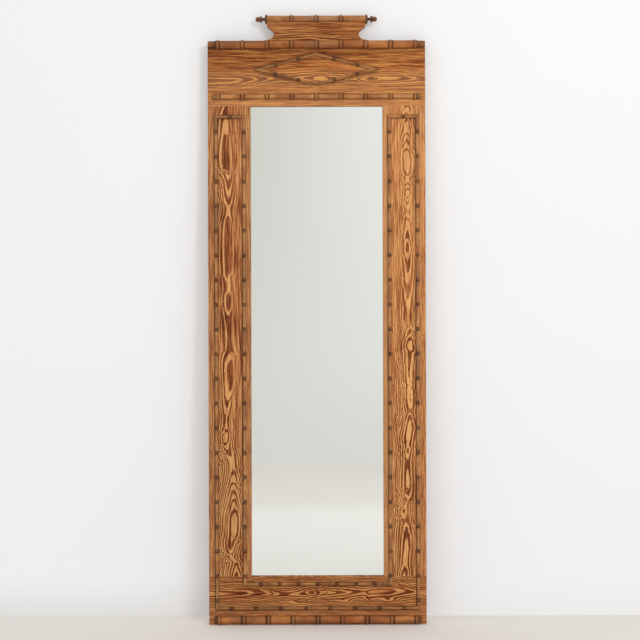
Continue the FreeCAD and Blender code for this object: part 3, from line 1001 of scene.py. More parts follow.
def swell(
    low: float, high: float, edge: float, crest: float, stain: float, wear: float = 0.8, steps: int = 13
) -> Outline:
    """A parabola from one edge to the other, over a crest in the middle.

    Args:
        low: where it starts along the axis.
        high: where it ends.
        edge: radius at both ends.
        crest: radius in the middle.
        stain: how dark it is.
        wear: how worn its crest is.
        steps: how many stations it has.

    Returns:
        The outline.
    """
    share = np.linspace(-1, 1, steps)
    along = low + (high - low) * (share + 1) / 2
    bow = 1 - share**2
    return Outline(along, edge + (crest - edge) * bow, np.full(steps, stain), bow * wear)


def ball(
    start: float, radius: float, tip: float, stain: Span, last_turn: float = 0.03, steps: int = 17
) -> Outline:
    """Part of a ball, from a radius at start down to a point just short of the axis at tip.

    Args:
        start: where it starts along the axis.
        radius: its radius there.
        tip: where it meets the axis.
        stain: how dark it is at the start and at the tip.
        last_turn: how far short of the axis it ends, as an angle at the ball's centre.
        steps: how many stations it has.

    Returns:
        The outline.
    """
    centre = (tip**2 - start**2 - radius**2) / (2 * (tip - start))
    size = tip - centre
    turn = np.linspace(math.atan2(radius, start - centre), last_turn, steps)
    dark = np.linspace(*stain, steps)
    return Outline(centre + size * np.cos(turn), size * np.sin(turn), dark, np.zeros(steps))


@dataclass(frozen=True)
class Lathe:
    """Turns outlines into pieces of the mirror, each standing for its CAD node.

    The foot is how dark a split turning is where it meets the boards: painted shade in that crease, with
    some dust; foot_reach_share is how far up that goes, and lit_share how much of it is left between the
    rings on the side that faces the light. Wobble is the unevenness that hand turning leaves, and seeds how
    many different courses it can take.
    """

    finish: bpy.types.Material
    slot: str = "turned_pine"
    foot_dirt_and_shade: float = 0.75
    foot_reach_share: float = 0.15
    lit_share: float = 1.0
    light_from: Triple = (1.0, 0.0, 1.0)
    steps_round: int = 48
    steps_split: int = 25
    wobble_share: float = 0.012
    wobble_rates: Span = (61.0, 149.0)
    wobble_phase: float = 2.3
    steady_reach: float = 0.02
    pole_share: float = 0.4
    grain_step: float = 0.37
    seeds: int = 97
    sharp_angle: float = math.radians(50)

    def section(self, turn: Turn) -> np.ndarray:
        """Angles round the axis; a split turning's back is closed by the step from last to first.

        Args:
            turn: round or split.

        Returns:
            The angles.
        """
        if turn is Turn.ROUND:
            return np.linspace(0, 2 * math.pi, self.steps_round, endpoint=False)
        return np.linspace(0, math.pi, self.steps_split)

    def wobbled(self, along: np.ndarray, radius: np.ndarray, seed: int) -> np.ndarray:
        """The trace of wobble that hand turning leaves: two sine waves, that die out at the ends.

        Args:
            along: the stations.
            radius: the true radius there.
            seed: moves the waves.

        Returns:
            The radius with its wobble, never over the true one.
        """
        slow, quick = self.wobble_rates
        tremble = np.sin(along * slow + seed) + np.sin(along * quick + self.wobble_phase * seed)
        near_end = np.minimum(along - along[0], along[-1] - along)
        steady = np.clip(near_end / self.steady_reach, 0, 1)
        return radius * (1 - self.wobble_share * steady * (1 + tremble / 2) / 2)

    def piece(
        self,
        node: str,
        outline: Outline,
        start: Vector,
        ahead: Vector,
        turn: Turn,
        mitres: Span = (0.0, 0.0),
        mitre_reach: float = TINY,
        flat: Optional[float] = None,
    ) -> bpy.types.Object:
        """Carries an outline round its axis.

        A point is start + along * ahead + radius * cos(angle) * sideways + radius * sin(angle) * outwards.
        A mitre leans the stations near an end: along gains sideways times the mitre's slope.

        Args:
            node: the CAD node that the piece stands for.
            outline: half the section.
            start: where along is zero.
            ahead: the axis.
            turn: round, or split with its flat on the boards.
            mitres: slope of the saw cut at each end.
            mitre_reach: how far in from an end the stations lean.
            flat: distance below the axis of a flat planed along the underside.

        Returns:
            The piece.
        """
        seed = sum(node.encode()) % self.seeds
        angle = self.section(turn)
        along, radius, stain, crown = outline.columns()
        radius = self.wobbled(along, radius, seed)
        sideways = radius[:, None] * np.cos(angle)
        outwards = radius[:, None] * np.sin(angle)
        if flat is not None:
            sideways = np.maximum(sideways, -flat)
        from_ends = np.stack([along - along[0], along[-1] - along], axis=-1)
        lean = np.clip(1 - from_ends / mitre_reach, 0, 1) @ np.array(mitres)
        station = along[:, None] + sideways * lean[:, None]
        local = np.stack([station, sideways, outwards], axis=-1)
        inset = self.pole_share if turn is Turn.SPLIT else 0.0
        poles = np.array([[along[end], 0, inset * radius[end]] for end in (0, -1)])
        local = np.concatenate([local.reshape(-1, 3), poles])
        forward = np.array(ahead.normalized())
        out = np.array((0.0, -1.0, 0.0))
        axes = np.stack([forward, np.cross(out, forward), out])
        points = local @ axes + np.array(start)
        # painted shade, with some dust: a split turning darkens towards the board it lies on, less on its
        # lit side
        foot_dirt_and_shade = self.foot_dirt_and_shade if turn is Turn.SPLIT else 0.0
        foot = foot_dirt_and_shade * np.exp(-outwards / (self.foot_reach_share * radius.max()))
        lit = (sideways * (axes[1] @ np.array(self.light_from)) > 0) & (crown[:, None] == 0)
        dark = np.clip(stain[:, None] + np.where(lit, foot * self.lit_share, foot), 0, 1)
        bright = np.repeat(crown[:, None], len(angle), axis=1)
        values = {
            "stain": np.concatenate([dark.ravel(), stain[[0, -1]]]),
            "crown": np.concatenate([bright.ravel(), np.zeros(2)]),
            "grain": local + np.array([seed * self.grain_step, 0, 0]),
        }
        return self.made(node, points, self.faces(len(along), len(angle)), values)

    def faces(self, stations: int, steps: int) -> list[list[int]]:
        """Quads between the sections, and a fan of triangles over each end.

        Args:
            stations: how many sections there are.
            steps: how many points a section has.

        Returns:
            The corners of each face.
        """
        here = np.arange(stations * steps).reshape(stations, steps)
        beside = np.roll(here, -1, axis=1)
        quads = np.stack([here[:-1], beside[:-1], beside[1:], here[1:]], axis=-1)
        pole = np.full(steps, stations * steps)
        low = np.stack([pole, beside[0], here[0]], axis=-1)
        high = np.stack([pole + 1, here[-1], beside[-1]], axis=-1)
        return quads.reshape(-1, 4).tolist() + low.tolist() + high.tolist()

    def made(self, node: str, points: np.ndarray, faces: list, values: dict) -> bpy.types.Object:
        """Makes the piece's object and seats it on the frame.

        Args:
            node: the CAD node that the piece stands for.
            points: the mesh's vertices.
            faces: the corners of each face.
            values: numbers or vectors for each vertex, by attribute name.

        Returns:
            The piece.
        """
        mesh = bpy.data.meshes.new(f"turned_{node}")
        mesh.from_pydata(points.tolist(), [], faces)
        for name, value in values.items():
            kind, key = ("FLOAT_VECTOR", "vector") if value.ndim == 2 else ("FLOAT", "value")
            attribute = mesh.attributes.new(name, kind, "POINT")
            attribute.data.foreach_set(key, value.astype(np.float32).ravel())
        mesh.shade_smooth()
        mesh.set_sharp_from_angle(angle=self.sharp_angle)
        mesh.materials.append(self.finish)
        piece = bpy.data.objects.new(f"turned_{node}", mesh)
        bpy.context.scene.collection.objects.link(piece)
        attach(piece, BODY)
        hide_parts(node)
        LOG.info("%s: %d faces", piece.name, len(faces))
        return piece


def middle_of(node: str) -> Vector:
    """The middle of a CAD node's box."""
    low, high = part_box(node)
    return (low + high) / 2


def repaint(node: str, material: bpy.types.Material) -> None:
    """Gives a CAD node a new material.

    Args:
        node: the node's name.
        material: its material.
    """
    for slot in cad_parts[node].material_slots:
        slot.material = material
    LOG.info("%s: %s", node, material.name)


# Sub-assemblies


@dataclass
class SplitRods:
    """The three rods along the frame: cornice, frieze and base, split and fixed to the boards.

    A stain is how dark an end is where it starts and at its tip.
    """

    half_width: float
    front: float
    node_pitch: float = 0.085
    end_node_inset: float = 0.035
    cornice: Bamboo = Bamboo(0.014, 0.0164, 0.015, soil=1.25)
    cornice_cup: float = 0.009
    cornice_stub: float = 0.009
    cornice_tip: float = 0.033
    cornice_stain: Span = (0.45, 0.0)
    frieze: Bamboo = Bamboo(0.0082, 0.013, 0.014)
    frieze_tip: float = 0.021
    frieze_stain: Span = (0.75, 0.45)
    base: Bamboo = Bamboo(0.014, 0.0164, 0.015, soil=2.0)
    base_tip: float = 0.018
    base_stain: Span = (0.8, 0.5)

    @property
    def last(self) -> float:
        """X of the last node."""
        return self.half_width - self.end_node_inset

    def build(self, stout: Lathe, slim: Lathe) -> None:
        """Turns the rods.

        Args:
            stout: what turns the cornice and the base.
            slim: what turns the frieze rod.
        """
        cup = self.last + self.cornice.ring_length / 2 + self.cornice_cup
        tip = self.last + self.cornice_tip
        stub = plain(((cup, self.cornice_stub), (tip, self.cornice_stub)), self.cornice_stain)
        self.rod(stout, "cornice_rod", self.cornice, stub)
        bullet = self.rounded(self.frieze, self.frieze_tip, self.frieze_stain)
        self.rod(slim, "frieze_rod", self.frieze, bullet)
        dome = self.rounded(self.base, self.base_tip, self.base_stain)
        self.rod(stout, "base_rod", self.base, dome)

    def rounded(self, pattern: Bamboo, tip: float, stain: Span) -> Outline:
        """A rounded right end, from the last ring to its tip."""
        start = self.last + pattern.ring_length / 2
        return ball(start, pattern.radius, self.last + tip, stain)

    def rod(self, lathe: Lathe, node: str, pattern: Bamboo, end: Outline) -> None:
        """Turns one rod with the same end left and right.

        Args:
            lathe: what turns it.
            node: its CAD node.
            pattern: its bamboo pattern.
            end: the outline of its right end.
        """
        bays = round(2 * self.last / self.node_pitch)
        places = np.linspace(-self.last, self.last, bays + 1)
        reach = self.last + pattern.ring_length / 2
        body = pattern.outline(places, -reach, reach)
        start = Vector((0.0, self.front, middle_of(node).z))
        lathe.piece(node, body.with_ends(end), start, Vector((1, 0, 0)), Turn.SPLIT)


@dataclass
class Crest:
    """Crest rod with a finial in each end, over the crest board."""

    half_width: float
    pattern: Bamboo = Bamboo(0.013, 0.016, 0.014)
    node_pitch: float = 0.085
    flat: float = 0.0105
    bore_radius: float = 0.00405
    bore_depth: float = 0.017
    spigot_radius: float = 0.004
    spigot_length: float = 0.016
    spigot_stain: float = 0.9
    flange_radius: float = 0.0165
    flange_rim: float = 0.015
    flange_rim_length: float = 0.006
    flange_length: float = 0.0085
    flange_stain: float = 0.8
    waist_radius: float = 0.0057
    neck_radius: float = 0.0045
    neck_length: float = 0.0085
    neck_stain: float = 0.85
    ring_radius: float = 0.0115
    ring_side: float = 0.009
    ring_length: float = 0.008
    ring_stain: float = 0.7
    bulb_neck: float = 0.0055
    bulb_length: float = 0.0155
    bulb_stain: Span = (0.8, 0.1)

    def build(self, lathe: Lathe) -> None:
        """Turns the rod and its finials.

        Args:
            lathe: what turns them.
        """
        low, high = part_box("right_finial")
        axis = Vector((0.0, (low.y + high.y) / 2, (low.z + high.z) / 2))
        self.rod(lathe, axis)
        for node, side in (("right_finial", 1), ("left_finial", -1)):
            end = Vector((side * self.half_width, axis.y, axis.z))
            lathe.piece(node, self.finial(), end, Vector((side, 0, 0)), Turn.ROUND)

    def rod(self, lathe: Lathe, axis: Vector) -> None:
        """Turns the rod, with a bore for a spigot in each end.

        Args:
            lathe: what turns it.
            axis: its middle.
        """
        end = self.half_width
        steps = int((end - self.pattern.ring_length) // self.node_pitch)
        places = self.node_pitch * np.arange(-steps, steps + 1)
        body = self.pattern.outline(places, -end, end)
        bore = ((end, self.bore_radius), (end - self.bore_depth, self.bore_radius))
        mouth = plain(bore, (self.spigot_stain, self.spigot_stain))
        outline = body.with_ends(mouth)
        lathe.piece("crest_rod", outline, axis, Vector((1, 0, 0)), Turn.ROUND, flat=self.flat)

    def finial(self) -> Outline:
        """Half the section of a finial, from its spigot to the tip of its bulb.

        Returns:
            The outline.
        """
        neck_end = self.flange_length + self.neck_length
        ring_end = neck_end + self.ring_length
        pin = ((-self.spigot_length, self.spigot_radius), (0, self.spigot_radius))
        spigot = plain(pin, (self.spigot_stain, self.spigot_stain))
        rim = swell(0, self.flange_rim_length, self.flange_rim, self.flange_radius, self.flange_stain)
        neck = swell(self.flange_length, neck_end, self.waist_radius, self.neck_radius, self.neck_stain)
        ring = swell(neck_end, ring_end, self.ring_side, self.ring_radius, self.ring_stain)
        bulb = ball(ring_end, self.bulb_neck, ring_end + self.bulb_length, self.bulb_stain)
        return spigot.then(rim).then(neck).then(ring).then(bulb)


@dataclass
class Beads:
    """Slim half-round beads in mitred loops: one over the stiles and the bottom rail, one lozenge."""

    front: float
    bright: Lathe
    dim: Lathe
    pattern: Bamboo = Bamboo(0.0055, 0.008, 0.012, quirk_length_share=0.24, soil=1.65, soil_lean=0.7)
    node_pitch: float = 0.085
    first_node_drop: float = 0.053
    last_node_margin: float = 0.020
    apron_node_pitch: float = 0.0655
    lozenge_half_width: float = 0.200
    lozenge_cornice_gap: float = 0.034
    lozenge_frieze_gap: float = 0.0415
    lozenge_node_shares: Span = (0.311, 0.707)

    def build(self) -> None:
        """Turns both loops."""
        self.frame_loop()
        self.lozenge()

    def loop(self, names: Sequence[str], corners: Points, places: Sequence[np.ndarray]) -> None:
        """Turns one bead from each corner to the next, mitred against its neighbours.

        Args:
            names: the CAD node of each bead.
            corners: X and Z of each corner; the first bead starts at the first.
            places: the nodes along each bead.
        """
        spots = [Vector((x, self.front, z)) for x, z in corners]
        count = len(spots)
        for i, node in enumerate(names):
            start, end = spots[i], spots[(i + 1) % count]
            before, after = spots[i - 1], spots[(i + 2) % count]
            ahead = (end - start).normalized()
            length = (end - start).length
            sideways = Vector((0, -1, 0)).cross(ahead)
            cuts = (
                ahead + (before - start).normalized(),
                -ahead + (after - end).normalized(),
            )
            mitres = tuple(cut.dot(ahead) / cut.dot(sideways) for cut in cuts)
            room = min(places[i][0], length - places[i][-1]) - self.pattern.ring_length / 2
            outline = self.pattern.outline(places[i], 0.0, length)
            lathe = self.bright if node.startswith(("left", "right")) else self.dim
            lathe.piece(node, outline, start, ahead, Turn.SPLIT, mitres, room)

    def from_top(self, length: float) -> np.ndarray:
        """Nodes down a stile's bead, measured from its upper end."""
        count = int((length - self.last_node_margin - self.first_node_drop) // self.node_pitch) + 1
        return self.first_node_drop + self.node_pitch * np.arange(count)

    def centred(self, length: float, pitch: float, first: float) -> np.ndarray:
        """Nodes either side of a bead's middle.

        Args:
            length: the bead's length.
            pitch: from node to node.
            first: from the middle to the nearest node.

        Returns:
            Their places, in order.
        """
        room = length / 2 - self.last_node_margin - first
        steps = first + pitch * np.arange(int(room // pitch) + 1)
        return np.unique(np.concatenate([length / 2 - steps, length / 2 + steps]))

    def frame_loop(self) -> None:
        """The loop up one stile, down beside the plate, under it and back."""
        outer = middle_of("right_outer_bead").x
        inner = middle_of("right_inner_bead").x
        top = middle_of("right_top_bead").z
        apron = middle_of("apron_bead").z
        plinth = middle_of("plinth_bead").z
        left = ((-outer, plinth), (-outer, top), (-inner, top), (-inner, apron))
        right = tuple((-x, z) for x, z in reversed(left))
        long_run, short_run = top - plinth, top - apron
        cap = np.array([(outer - inner) / 2])
        named_places = {
            "left_outer_bead": long_run - self.from_top(long_run)[::-1],
            "left_top_bead": cap,
            "left_inner_bead": self.from_top(short_run),
            "apron_bead": self.centred(2 * inner, self.apron_node_pitch, 0.0),
            "right_inner_bead": short_run - self.from_top(short_run)[::-1],
            "right_top_bead": cap,
            "right_outer_bead": self.from_top(long_run),
            "plinth_bead": self.centred(2 * outer, self.node_pitch, self.node_pitch / 2),
        }
        self.loop(list(named_places), left + right, list(named_places.values()))

    def lozenge(self) -> None:
        """The lozenge on the top rail, between the cornice rod and the frieze rod."""
        low = middle_of("frieze_rod").z + self.lozenge_frieze_gap
        high = middle_of("cornice_rod").z - self.lozenge_cornice_gap
        middle, wide = (low + high) / 2, self.lozenge_half_width
        corners = ((0.0, high), (wide, middle), (0.0, low), (-wide, middle))
        length = math.hypot(wide, high - middle)
        outward = length * np.array(self.lozenge_node_shares)
        inward = (length - outward)[::-1]
        self.loop(LOZENGE, corners, (outward, inward, outward, inward))


# How each board was sawn; heights and widths in metres


LEFT_STILE = Figure(
    name="left_stile",
    grain=Grain.UPRIGHT,
    heart=(
        (0.167, -0.282), (0.215, -0.284), (0.258, -0.303), (0.308, -0.292), (0.374, -0.289),
        (0.455, -0.290), (0.529, -0.291), (0.600, -0.305), (0.650, -0.314), (0.753, -0.311),
        (0.784, -0.307), (0.860, -0.299), (0.998, -0.301), (1.100, -0.305), (1.263, -0.306),
        (1.387, -0.305), (1.457, -0.303), (1.510, -0.303), (1.552, -0.307), (1.600, -0.312),
        (1.743, -0.313), (1.794, -0.309),
    ),
    depth=(
        (0.167, 0.020), (0.250, 0.016), (0.308, 0.022), (0.374, 0.022), (0.439, 0.013),
        (0.529, 0.014), (0.584, 0.022), (0.650, 0.014), (0.753, 0.020), (0.860, 0.034),
        (0.957, 0.050), (1.046, 0.040), (1.101, 0.030), (1.263, 0.042), (1.387, 0.030),
        (1.457, 0.018), (1.552, 0.022), (1.600, 0.045), (1.794, 0.040),
    ),
    rings=(
        (0.167, 3.8), (0.194, 4.3), (0.215, 4.8), (0.232, 5.1), (0.243, 4.75), (0.253, 4.2),
        (0.263, 3.9), (0.281, 3.6), (0.308, 3.3), (0.339, 3.1), (0.374, 3.3), (0.391, 3.85),
        (0.415, 4.25), (0.439, 4.85), (0.455, 5.3), (0.470, 5.85), (0.482, 6.3), (0.494, 6.85),
        (0.512, 7.3), (0.529, 7.85), (0.556, 8.2), (0.584, 7.9), (0.612, 7.3), (0.625, 6.9),
        (0.650, 6.2), (0.674, 6.95), (0.691, 7.35), (0.712, 7.45), (0.736, 7.2), (0.753, 6.95),
        (0.767, 6.75), (0.784, 6.35), (0.801, 6.0), (0.822, 5.75), (0.860, 5.62), (0.891, 5.72),
        (0.919, 6.0), (0.936, 6.35), (0.957, 6.75), (0.998, 6.8), (1.046, 6.6), (1.067, 6.3),
        (1.086, 6.0), (1.101, 5.75), (1.132, 5.8), (1.160, 6.1), (1.187, 6.12), (1.215, 5.75),
        (1.263, 5.62), (1.315, 5.62), (1.350, 5.66), (1.390, 5.80), (1.412, 6.1), (1.436, 6.15),
        (1.457, 5.8), (1.484, 5.2), (1.510, 4.8), (1.539, 4.2), (1.552, 3.8), (1.562, 3.15),
        (1.577, 2.6), (1.610, 2.55), (1.660, 2.75), (1.694, 3.0), (1.743, 3.35), (1.794, 3.9),
    ),
    tone=(1.13, 1.15, 1.26),
    shade=(
        (-0.375, 0.91), (-0.345, 0.93), (-0.335, 0.99), (-0.262, 1.0), (-0.250, 0.93),
        (-0.228, 0.91),
    ),
    run=((0.0, 0.93), (0.450, 0.94), (0.850, 1.04), (2.0, 1.06)),
    fade=(
        (-0.375, 0.18), (-0.350, 0.16), (-0.335, 0.0), (-0.262, 0.0), (-0.250, 0.24),
        (-0.228, 0.26),
    ),
    late_from=(
        (0.167, 0.27), (0.700, 0.27), (0.900, 0.16), (1.080, 0.04), (1.400, -0.02), (1.450, 0.10),
        (1.520, 0.24), (1.794, 0.16),
    ),
    bold=(
        (0.167, 0.040), (0.450, 0.044), (0.600, 0.036), (0.750, 0.022), (1.000, 0.015), (1.350, 0.015),
        (1.450, 0.026), (1.600, 0.018), (1.794, 0.016),
    ),
    lean=((0.167, 0.012), (1.794, 0.012)),
    lively=0.80,
    spacing=0.0062,
    seed=3.1,
)

RIGHT_STILE = Figure(
    name="right_stile",
    grain=Grain.UPRIGHT,
    heart=(
        (0.163, 0.301), (0.239, 0.305), (0.318, 0.309), (0.356, 0.308), (0.395, 0.300),
        (0.430, 0.316), (0.480, 0.313), (0.545, 0.312), (0.612, 0.312), (0.702, 0.320),
        (0.765, 0.320), (0.885, 0.316), (1.003, 0.319), (1.060, 0.312), (1.205, 0.312),
        (1.295, 0.311), (1.363, 0.312), (1.491, 0.313), (1.639, 0.313), (1.794, 0.314),
    ),
    depth=(
        (0.163, 0.014), (0.239, 0.016), (0.318, 0.024), (0.395, 0.016), (0.430, 0.018),
        (0.480, 0.020), (0.545, 0.018), (0.598, 0.014), (0.655, 0.024), (0.717, 0.014),
        (0.811, 0.014), (0.885, 0.016), (0.950, 0.022), (1.003, 0.012), (1.060, 0.024),
        (1.118, 0.022), (1.228, 0.026), (1.295, 0.014), (1.363, 0.020), (1.441, 0.014),
        (1.491, 0.012), (1.536, 0.016), (1.594, 0.026), (1.670, 0.018), (1.794, 0.016),
    ),
    rings=(
        (0.163, 1.2), (0.188, 1.4), (0.199, 1.8), (0.212, 2.03), (0.239, 2.12), (0.284, 2.3),
        (0.301, 2.5), (0.318, 2.72), (0.336, 2.95), (0.356, 3.35), (0.375, 2.9), (0.395, 2.8),
        (0.419, 3.3), (0.430, 3.05), (0.443, 2.8), (0.455, 2.55), (0.480, 2.25), (0.515, 2.3),
        (0.545, 2.45), (0.580, 2.2), (0.598, 1.88), (0.612, 2.3), (0.655, 2.1), (0.702, 2.35),
        (0.717, 2.85), (0.736, 3.35), (0.750, 3.1), (0.765, 2.8), (0.811, 2.85), (0.822, 3.1),
        (0.832, 2.85), (0.885, 2.82), (0.935, 2.7), (0.950, 2.15), (0.977, 2.4), (0.992, 2.9),
        (1.003, 3.35), (1.013, 3.9), (1.020, 4.2), (1.060, 4.35), (1.105, 4.12), (1.118, 3.95),
        (1.136, 3.75), (1.163, 3.4), (1.205, 3.1), (1.228, 2.92), (1.250, 2.75), (1.273, 2.35),
        (1.295, 1.85), (1.322, 2.35), (1.337, 2.85), (1.363, 3.15), (1.394, 3.4), (1.409, 3.92),
        (1.425, 4.4), (1.441, 4.05), (1.453, 3.8), (1.467, 3.4), (1.477, 2.9), (1.491, 2.35),
        (1.505, 2.9), (1.515, 3.4), (1.525, 3.85), (1.536, 4.2), (1.546, 3.7), (1.560, 3.35),
        (1.594, 3.12), (1.625, 3.35), (1.639, 3.88), (1.655, 4.35), (1.670, 4.88), (1.686, 5.3),
        (1.701, 5.85), (1.725, 6.3), (1.746, 6.9), (1.770, 7.85), (1.794, 8.6),
    ),
    tone=(1.27, 1.33, 1.42),
    shade=((0.228, 1.08), (0.255, 1.05), (0.275, 1.0), (0.375, 1.0)),
    run=((0.0, 0.94), (0.500, 0.95), (0.900, 1.0), (1.300, 1.04), (2.0, 1.06)),
    fade=((0.228, 0.52), (0.250, 0.48), (0.262, 0.0), (0.345, 0.0), (0.355, 0.08), (0.375, 0.08)),
    late_from=((0.163, 0.20), (0.900, 0.24), (1.200, 0.32), (1.794, 0.40)),
    bold=(
        (0.163, 0.026), (0.500, 0.028), (0.850, 0.028), (1.150, 0.018), (1.500, 0.016),
        (1.794, 0.022),
    ),
    lean=((0.163, 0.004), (0.450, 0.010), (0.900, 0.012), (1.150, 0.0), (1.794, 0.0)),
    torn=((0.163, 1.5), (0.800, 1.5), (1.150, 1.0), (1.794, 1.0)),
    contrast=((0.163, 1.12), (0.900, 1.06), (1.150, 0.80), (1.794, 0.72)),
    seed=8.4,
)

TOP_RAIL = Figure(
    name="top_rail",
    grain=Grain.LEVEL,
    heart=(
        (-0.376, 1.876), (-0.260, 1.879), (-0.100, 1.885), (0.000, 1.884), (0.100, 1.880),
        (0.190, 1.882), (0.300, 1.884), (0.376, 1.882),
    ),
    depth=((-0.376, 0.014), (-0.200, 0.012), (0.000, 0.014), (0.200, 0.010), (0.376, 0.012)),
    rings=(
        (-0.376, 4.6), (-0.273, 4.85), (-0.262, 5.05), (-0.242, 5.4), (-0.231, 5.75), (-0.218, 5.95),
        (-0.207, 6.2), (-0.190, 6.6), (-0.169, 6.9), (-0.155, 7.2), (-0.111, 7.5), (-0.059, 7.15),
        (-0.018, 6.8), (0.003, 6.3), (0.027, 6.1), (0.044, 6.5), (0.096, 6.9), (0.120, 7.3),
        (0.148, 6.7), (0.169, 6.3), (0.240, 6.2), (0.286, 6.3), (0.310, 6.7), (0.327, 6.95),
        (0.341, 7.2), (0.376, 7.5),
    ),
    tone=(1.08, 0.95, 0.66),
    shade=((1.788, 1.28), (1.800, 1.28), (1.815, 1.06), (1.900, 1.05), (1.955, 0.82), (2.012, 0.75)),
    run=((-0.376, 0.88), (-0.100, 1.01), (0.376, 1.09)),
    fade=((1.788, 0.46), (1.802, 0.44), (1.816, 0.28), (1.890, 0.27), (1.935, 0.0), (2.012, 0.0)),
    late_from=((-0.376, 0.16), (0.376, 0.16)),
    bold=((-0.376, 0.016), (0.376, 0.018)),
    lively=0.84,
    knots=(Knot(0.189, 1.882, 0.015, 0.0075, 2.8, 1.0),),
    seed=5.7,
)

BOTTOM_RAIL = Figure(
    name="bottom_rail",
    grain=Grain.LEVEL,
    heart=(
        (-0.376, 0.106), (-0.200, 0.107), (-0.100, 0.104), (-0.021, 0.110), (0.072, 0.110),
        (0.134, 0.112), (0.250, 0.113), (0.376, 0.110),
    ),
    depth=(
        (-0.376, 0.012), (-0.150, 0.010), (-0.021, 0.012), (0.100, 0.010), (0.250, 0.014),
        (0.376, 0.012),
    ),
    rings=(
        (-0.376, 3.0), (-0.328, 3.3), (-0.235, 3.9), (-0.224, 4.15), (-0.190, 4.85), (-0.180, 5.1),
        (-0.154, 5.9), (-0.142, 6.15), (-0.121, 6.5), (-0.093, 6.2), (-0.066, 5.9), (-0.038, 5.4),
        (-0.021, 4.9), (-0.004, 5.4), (0.010, 5.9), (0.024, 6.2), (0.038, 5.7), (0.044, 5.3),
        (0.072, 5.6), (0.101, 5.95), (0.113, 6.2), (0.134, 6.6), (0.155, 6.9), (0.169, 6.5),
        (0.182, 6.2), (0.251, 6.4), (0.268, 6.85), (0.275, 6.98), (0.282, 7.15), (0.303, 7.5),
        (0.327, 7.9), (0.348, 8.2), (0.376, 8.0),
    ),
    tone=(0.92, 0.83, 0.79),
    shade=((0.0, 1.06), (0.050, 1.08), (0.070, 1.04), (0.110, 1.05), (0.166, 0.98)),
    run=((-0.376, 0.96), (0.376, 1.04)),
    fade=((0.0, 0.20), (0.060, 0.18), (0.075, 0.0), (0.166, 0.0)),
    late_from=((-0.376, 0.24), (0.376, 0.22)),
    bold=((-0.376, 0.052), (0.376, 0.052)),
    lively=0.84,
    spacing=0.0054,
    knots=(
        Knot(0.095, 0.077, 0.034, 0.010, 1.9),
        Knot(0.168, 0.084, 0.028, 0.009, 1.6),
        Knot(0.245, 0.080, 0.036, 0.010, 1.8),
        Knot(-0.090, 0.084, 0.040, 0.009, -1.3),
        Knot(-0.215, 0.128, 0.050, 0.009, 1.2),
    ),
    seed=1.9,
)

CREST_BOARD = Figure(
    name="crest_board",
    grain=Grain.LEVEL,
    heart=((-0.180, 1.988), (-0.060, 1.992), (0.060, 1.986), (0.180, 1.990)),
    depth=((-0.180, 0.026), (0.000, 0.030), (0.180, 0.026)),
    rings=((-0.180, 3.2), (-0.100, 3.5), (0.000, 3.1), (0.100, 3.6), (0.180, 3.3)),
    tone=(0.87, 0.78, 0.64),
    shade=((2.012, 0.9), (2.030, 1.05), (2.080, 1.0)),
    run=((-0.180, 0.96), (0.180, 1.04)),
    fade=((2.012, 0.0), (2.080, 0.02)),
    late_from=((-0.180, 0.22), (0.180, 0.22)),
    bold=((-0.180, 0.040), (0.180, 0.040)),
    lively=0.82,
    spacing=0.0062,
    seed=6.6,
)

FIGURES = (LEFT_STILE, RIGHT_STILE, TOP_RAIL, BOTTOM_RAIL, CREST_BOARD)
ON_BOARD = {
    "left_stile": ("left_outer_bead", "left_inner_bead", "left_top_bead"),
    "right_stile": ("right_outer_bead", "right_inner_bead", "right_top_bead"),
    "top_rail": ("cornice_rod", "frieze_rod", *LOZENGE),
    "bottom_rail": (
        "left_outer_bead",
        "right_outer_bead",
        "left_inner_bead",
        "right_inner_bead",
        "apron_bead",
        "plinth_bead",
        "base_rod",
    ),
    "crest_board": ("crest_rod",),
}


@dataclass
class Boards:
    """The stiles, the rails and the crest board, each with the figure that it was sawn with.

    Rings_share is how much of a bead's half-size its rings stand out. On the listed beads the footprint
    ends twice the trim short on the right, the lit side, so their painted shade and dust show mainly on the
    left.
    """

    front: float
    finish: PitchPine = PitchPine()
    # how dark the line of dust and painted shade is beside the frieze rod and the lozenge beads
    frieze_dirt_and_shade: float = 0.7
    lozenge_dirt_and_shade: float = 0.55
    bead_half: float = 0.0058
    rings_share: float = 0.22
    # how far the painted shade line is cut back on the lit right side of the listed beads
    lit_side_trim: float = 0.0018
    lit_side_trim_beads: tuple[str, ...] = ("left_inner_bead", "right_inner_bead", "right_outer_bead")

    def footprint(self, node: str) -> Strip:
        """The strip of board that a bead or rod covers, between its rings.

        Args:
            node: the bead or rod.

        Returns:
            Its footprint.
        """
        low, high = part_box(node)
        middle, half = (low + high) / 2, (high - low) / 2
        if node in LOZENGE:
            falls = middle.x * (middle.z - middle_of("lozenge_upper_left_bead").z + self.bead_half) > 0
            slant = math.atan2(half.z, half.x) * (-1 if falls else 1)
            half_length = math.hypot(half.x, half.z) - 2 * self.bead_half
            return Strip(middle.x, middle.z, half_length, self.bead_half, self.lozenge_dirt_and_shade, slant)
        inside = min(half.x, half.z) * self.rings_share
        dirt_and_shade = self.frieze_dirt_and_shade if node == "frieze_rod" else 1.0
        # painted shade: on these beads the dark line is cut back on the lit right side and kept on the left
        lit_side_trim = self.lit_side_trim if node in self.lit_side_trim_beads else 0.0
        return Strip(middle.x - lit_side_trim, middle.z, half.x - inside - lit_side_trim, half.z - inside, dirt_and_shade)

    def dress(self) -> None:
        """Gives each board its own cut of the wood."""
        for figure in FIGURES:
            board = figure.name
            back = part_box(board)[1].y
            strips = [self.footprint(node) for node in ON_BOARD[board]]
            material = self.finish.material(figure, self.front, back, strips)
            repaint(board, material)


